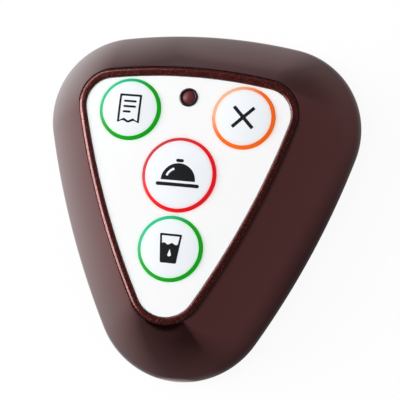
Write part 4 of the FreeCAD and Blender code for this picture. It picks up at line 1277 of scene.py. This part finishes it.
def lamp_profile():
    tip = PANEL + LAMP_PROUD
    foot = tip - LAMP_LENGTH
    bow = (LAMP_RADIUS ** 2 + LAMP_ARCH ** 2) / (2 * LAMP_ARCH)
    spread = math.degrees(math.asin(LAMP_RADIUS / bow))
    dome = arc((0, tip - bow), bow, 90, 90 - spread, LENS_STEPS)
    flange = foot + FLANGE_HEIGHT
    return dome + [(LAMP_RADIUS, flange), (LAMP_FLANGE, flange), (LAMP_FLANGE, foot),
                   (0, foot)]


def collar_profile():
    inside, top = LAMP_RADIUS + LENS_GAP, PANEL + COLLAR_RISE
    brow = arc((COLLAR_RADIUS - COLLAR_RISE, PANEL), COLLAR_RISE, 90, 0, COLLAR_STEPS)
    inner = arc((inside + COLLAR_ROUND, top - COLLAR_ROUND), COLLAR_ROUND, 180, 90,
                INNER_STEPS)
    return inner + brow + [(COLLAR_NECK, PANEL), (COLLAR_NECK, DECK_UNDER),
                           (inside, DECK_UNDER)]


lens = turned("lamp_lens", 0, LAMP_Y, lamp_profile(), "led_red", LAMP_STEPS)
dress(lens, "housing", "led_red", "status_led")
collar = turned("lamp_collar", 0, LAMP_Y, collar_profile(), "collar_black", LAMP_STEPS)
dress(collar, "housing", "collar_black", "led_collar")

# %% [markdown]
# ## Underside and inner pieces
# The base plate, the battery door and the other round pieces keep their CAD shapes. A copy
# of each mesh is welded and shaded smooth where it is round, so that bores and rims don't
# show their facets. The Weighted Normal modifier then lets large faces lead, so flat ones
# stay flat to their edge. Their shapes are right already, so nothing is modelled anew.

# %% Smooth copies of CAD nodes
BODY_OF = {node: body for body, nodes in frame["record"]["behaviour"]["bodies"].items()
           for node in nodes}
KEPT_ROUND = ["base_plate", "battery_door", "housing_screws", "board_screws", "rubber_feet",
              "door_seal", "housing_seal", "coin_cell", "contact_negative", "crystal_can"]


def smooth_copy(node):
    build = bmesh.new()
    build.from_mesh(frame["nodes"][node].data)
    piece = add_object(node + "_smooth", finish_mesh(build, node + "_smooth"))
    modifier = piece.modifiers.new("even", "WEIGHTED_NORMAL")
    modifier.keep_sharp = True
    piece.data = evaluated_mesh(piece)
    piece.modifiers.clear()
    return dress(piece, BODY_OF[node], node_slot[node], node)


for node in KEPT_ROUND:
    smooth_copy(node)

# %% [markdown]
# ## Floor, light and background
# The button lies on a white table. The camera sees the table as plain white with the
# button's soft shadow in it. Polished lacquer is mostly what it mirrors, so glossy and
# see-through surfaces see a table with painted light and shade on it, and Light Path tells
# the two apart:
#
# - close to the button the table is darker, a painted shade, and further out brighter,
#   with three painted pools of light, the largest on the side of the window;
# - behind the right corner lies a patch of painted shade;
# - in front of the tip lies a wedge of painted shade. Two straight sides run away from its
#   corner under the button, and past its far end comes a black band of painted shade. Left
#   of the line through its right side the table is a little darker, painted shade too.
#
# The flanks mirror these painted areas and their edges. All sizes are in millimetres. A
# pool and the shade patch are given by their middle and the two radii between which they
# fade.

# %% Painted light and shade that the table shows in a mirror
# painted shade close to the button, brighter further out
NEAR_RADIUS, FAR_RADIUS = 28, 64
NEAR_LEVEL, FAR_LEVEL = 0.1, 0.35
# painted pools of light
POOLS = [(-60, 5, 22, 112, 0.87), (6, 50, 12, 46, 0.48), (0, -44, 2, 8, 0.7)]
# a patch of painted shade behind the right corner
SHADE_PATCH = (52, 85, 12, 50)
SHADE_PATCH_SHARE = 0.65
# a wedge of painted shade in front of the tip
SHADE_WEDGE_CORNER = (10.2, -31)
SHADE_WEDGE_RIGHT, SHADE_WEDGE_LEFT = -65.7, -133
SHADE_WEDGE_RIGHT_BLUR, SHADE_WEDGE_LEFT_BLUR = (0, 7), (-60, 0)
SHADE_WEDGE_REACH = 90
SHADE_WEDGE_NEAR, SHADE_WEDGE_FAR = 0.27, 0.11
SHADE_WEDGE_PALE = (20, 90)
SHADE_WEDGE_PALE_SHARE = 2.0
LEFT_OF_SHADE_WEDGE = (-25, 5)
LEFT_SHARE = 0.7
# a black band of painted shade past the wedge's far end
BLACK_SHADE_PLACE = (-37, -117)
BLACK_SHADE_DIRECTION = -141.6
BLACK_SHADE_BLUR, BLACK_SHADE_RIGHT_BLUR, BLACK_SHADE_LEFT_BLUR = (-3, 3), (0, 4), (-10, 5)
BLACK_SHADE_LEVEL = 0.02


def plan_direction(degrees):
    return (math.cos(math.radians(degrees)), math.sin(math.radians(degrees)), 0.0)


def painted_mirror_light(recipe):
    """Painted light and shade on the table as mirrors see it: a brightness from 0 to 1 for each
    point.
    """

    def fade(amount, reach, first, last):
        return recipe.fading(amount, reach[0] * MM, reach[1] * MM, first, last)

    def patch(x, y, inner, outer, first, last):
        return fade(recipe.away(x, y), (inner, outer), first, last)

    light = fade(recipe.length(recipe.place()), (NEAR_RADIUS, FAR_RADIUS),
                 NEAR_LEVEL, FAR_LEVEL)
    corner = recipe.around(*SHADE_WEDGE_CORNER)
    from_right = recipe.along(corner, plan_direction(SHADE_WEDGE_RIGHT - 90))
    from_left = recipe.along(corner, plan_direction(SHADE_WEDGE_LEFT + 90))
    beyond = recipe.along(recipe.around(*BLACK_SHADE_PLACE), plan_direction(BLACK_SHADE_DIRECTION))
    shade_wedge = fade(from_right, SHADE_WEDGE_RIGHT_BLUR, 0.0, 1.0) * fade(from_left, SHADE_WEDGE_LEFT_BLUR, 0.0, 1.0)
    shade = (fade(recipe.length(corner), (0, SHADE_WEDGE_REACH), SHADE_WEDGE_NEAR, SHADE_WEDGE_FAR)
             * fade(from_right, SHADE_WEDGE_PALE, 1.0, SHADE_WEDGE_PALE_SHARE))
    black_shade = (fade(beyond, BLACK_SHADE_BLUR, 0.0, 1.0) * fade(from_right, BLACK_SHADE_RIGHT_BLUR, 0.0, 1.0)
           * fade(from_left, BLACK_SHADE_LEFT_BLUR, 0.0, 1.0))
    # painted shade left of the wedge's right side and in the patch, then the wedge and the black
    # band
    light = light * fade(from_right, LEFT_OF_SHADE_WEDGE, 1.0, LEFT_SHARE)
    light = light * patch(*SHADE_PATCH, SHADE_PATCH_SHARE, 1.0)
    light = light * (1 - shade_wedge) + shade * shade_wedge
    light = light * (1 - black_shade) + black_shade * BLACK_SHADE_LEVEL
    for x, y, inner, outer, level in POOLS:
        light = light.either(patch(x, y, inner, outer, level, 0.0))
    return light


# %% Floor
FLOOR_SIZE = 12.0
FLOOR_WHITE = 0.9
SHADOW_SHARE = 0.07


def grey(level):
    return (level, level, level, 1)


def mix(recipe, share, first, second):
    """Mixes two shaders by a share from 0 to 1."""
    return recipe.node("ShaderNodeMixShader", None, {
        0: share, 1: first.outputs[0], 2: second.outputs[0]})


def floor_material():
    material = bpy.data.materials.new("table_white")
    material.use_nodes = True
    recipe = Recipe(material.node_tree)
    recipe.tree.nodes.clear()
    ray = recipe.node("ShaderNodeLightPath")
    seen, glossy, through = [Amount(recipe, ray.outputs[f"Is {kind} Ray"])
                             for kind in ("Camera", "Glossy", "Transmission")]
    white = recipe.node("ShaderNodeEmission")
    black = recipe.node("ShaderNodeEmission", None, {"Color": grey(0)})
    matt = recipe.node("ShaderNodeBsdfDiffuse", None, {"Color": grey(FLOOR_WHITE)})
    plain = mix(recipe, seen * (1 - SHADOW_SHARE), matt, white)
    # glossy and see-through rays see the painted light and shade
    lit = mix(recipe, painted_mirror_light(recipe), black, white)
    out = recipe.node("ShaderNodeOutputMaterial")
    recipe.tree.links.new(mix(recipe, glossy.either(through), plain, lit).outputs[0],
                          out.inputs[0])
    return material


floor_mesh = bpy.data.meshes.new("floor")
half = FLOOR_SIZE / 2
floor_mesh.from_pydata([(-half, -half, 0), (half, -half, 0), (half, half, 0),
                        (-half, half, 0)], [], [(0, 1, 2, 3)])
floor = add_object("floor", floor_mesh)
floor_mesh.materials.append(floor_material())
print("the floor's material takes", len(floor_mesh.materials[0].node_tree.nodes), "nodes")

# %% [markdown]
# The world differs by ray too. The camera sees white paper behind the table. Mirrors see
# grey walls and a darker ceiling straight above, so that the top faces stay calm. All other
# light from the room is a weak, even grey.

# %% World
WALL_GREY, CEILING_GREY = 0.22, 0.06
CEILING_FROM, CEILING_TO = 0.9, 0.98
ROOM_GREY = 0.2

world = bpy.data.worlds.new("room")
scene.world = world
world.use_nodes = True
sky = Recipe(world.node_tree)
sky.tree.nodes.clear()
ray = sky.node("ShaderNodeLightPath")
room = sky.node("ShaderNodeBackground", None, {"Color": grey(ROOM_GREY)})
direction = sky.node("ShaderNodeTexCoord").outputs["Generated"]
height = sky.along(direction, (0.0, 0.0, 1.0))
ceiling = sky.node("ShaderNodeBackground", None, {
    "Strength": sky.fading(height, CEILING_FROM, CEILING_TO, WALL_GREY, CEILING_GREY)})
paper = sky.node("ShaderNodeBackground", None, {"Color": grey(1)})
inside = mix(sky, ray.outputs["Is Glossy Ray"], room, ceiling)
choice = mix(sky, ray.outputs["Is Camera Ray"], inside, paper)
world_out = sky.node("ShaderNodeOutputWorld")
sky.tree.links.new(choice.outputs[0], world_out.inputs[0])
print("the world takes", len(sky.tree.nodes), "nodes")

# %% [markdown]
# The light comes from soft boxes to the left and behind the button, low enough that the
# top faces mirror the dark ceiling and only rounded edges catch a highlight. A weaker box
# on the right lights the panel and the keys from the other side. Glossy rays don't see it,
# so the frame's right side stays dark. Each box is placed by its direction from the button,
# its width and height are in millimetres, and its level is the brightness of its own face,
# where a white page has 1.

# %% Lamps
LAMP_DISTANCE = 1200
AIM = Vector((0, 0, 15))
LAMPS = [
    ("window_left", 182, 36, 600, 1040, 8.2),
    ("window_behind_left", 145, 40, 800, 840, 2.8),
    ("fill_right", 10, 42, 1200, 500, 1.3),
]


def soft_box(name, azimuth, elevation, width, height, level):
    light = bpy.data.lights.new(name, "AREA")
    light.shape = "RECTANGLE"
    light.size, light.size_y = width * MM, height * MM
    light.energy = math.pi * light.size * light.size_y * level
    lamp = add_object(name, light)
    around, up = math.radians(azimuth), math.radians(elevation)
    away = Vector((math.cos(up) * math.cos(around), math.cos(up) * math.sin(around),
                   math.sin(up)))
    lamp.location = (AIM + away * LAMP_DISTANCE) * MM
    lamp.rotation_euler = (-away).to_track_quat("-Z", "Y").to_euler()
    return lamp


for settings in LAMPS:
    lamp = soft_box(*settings)
    lamp.visible_glossy = not lamp.name.startswith("fill")
    print(lamp.name, "shines with", round(lamp.data.energy, 2), "W")

scene.view_settings.view_transform = "Standard"
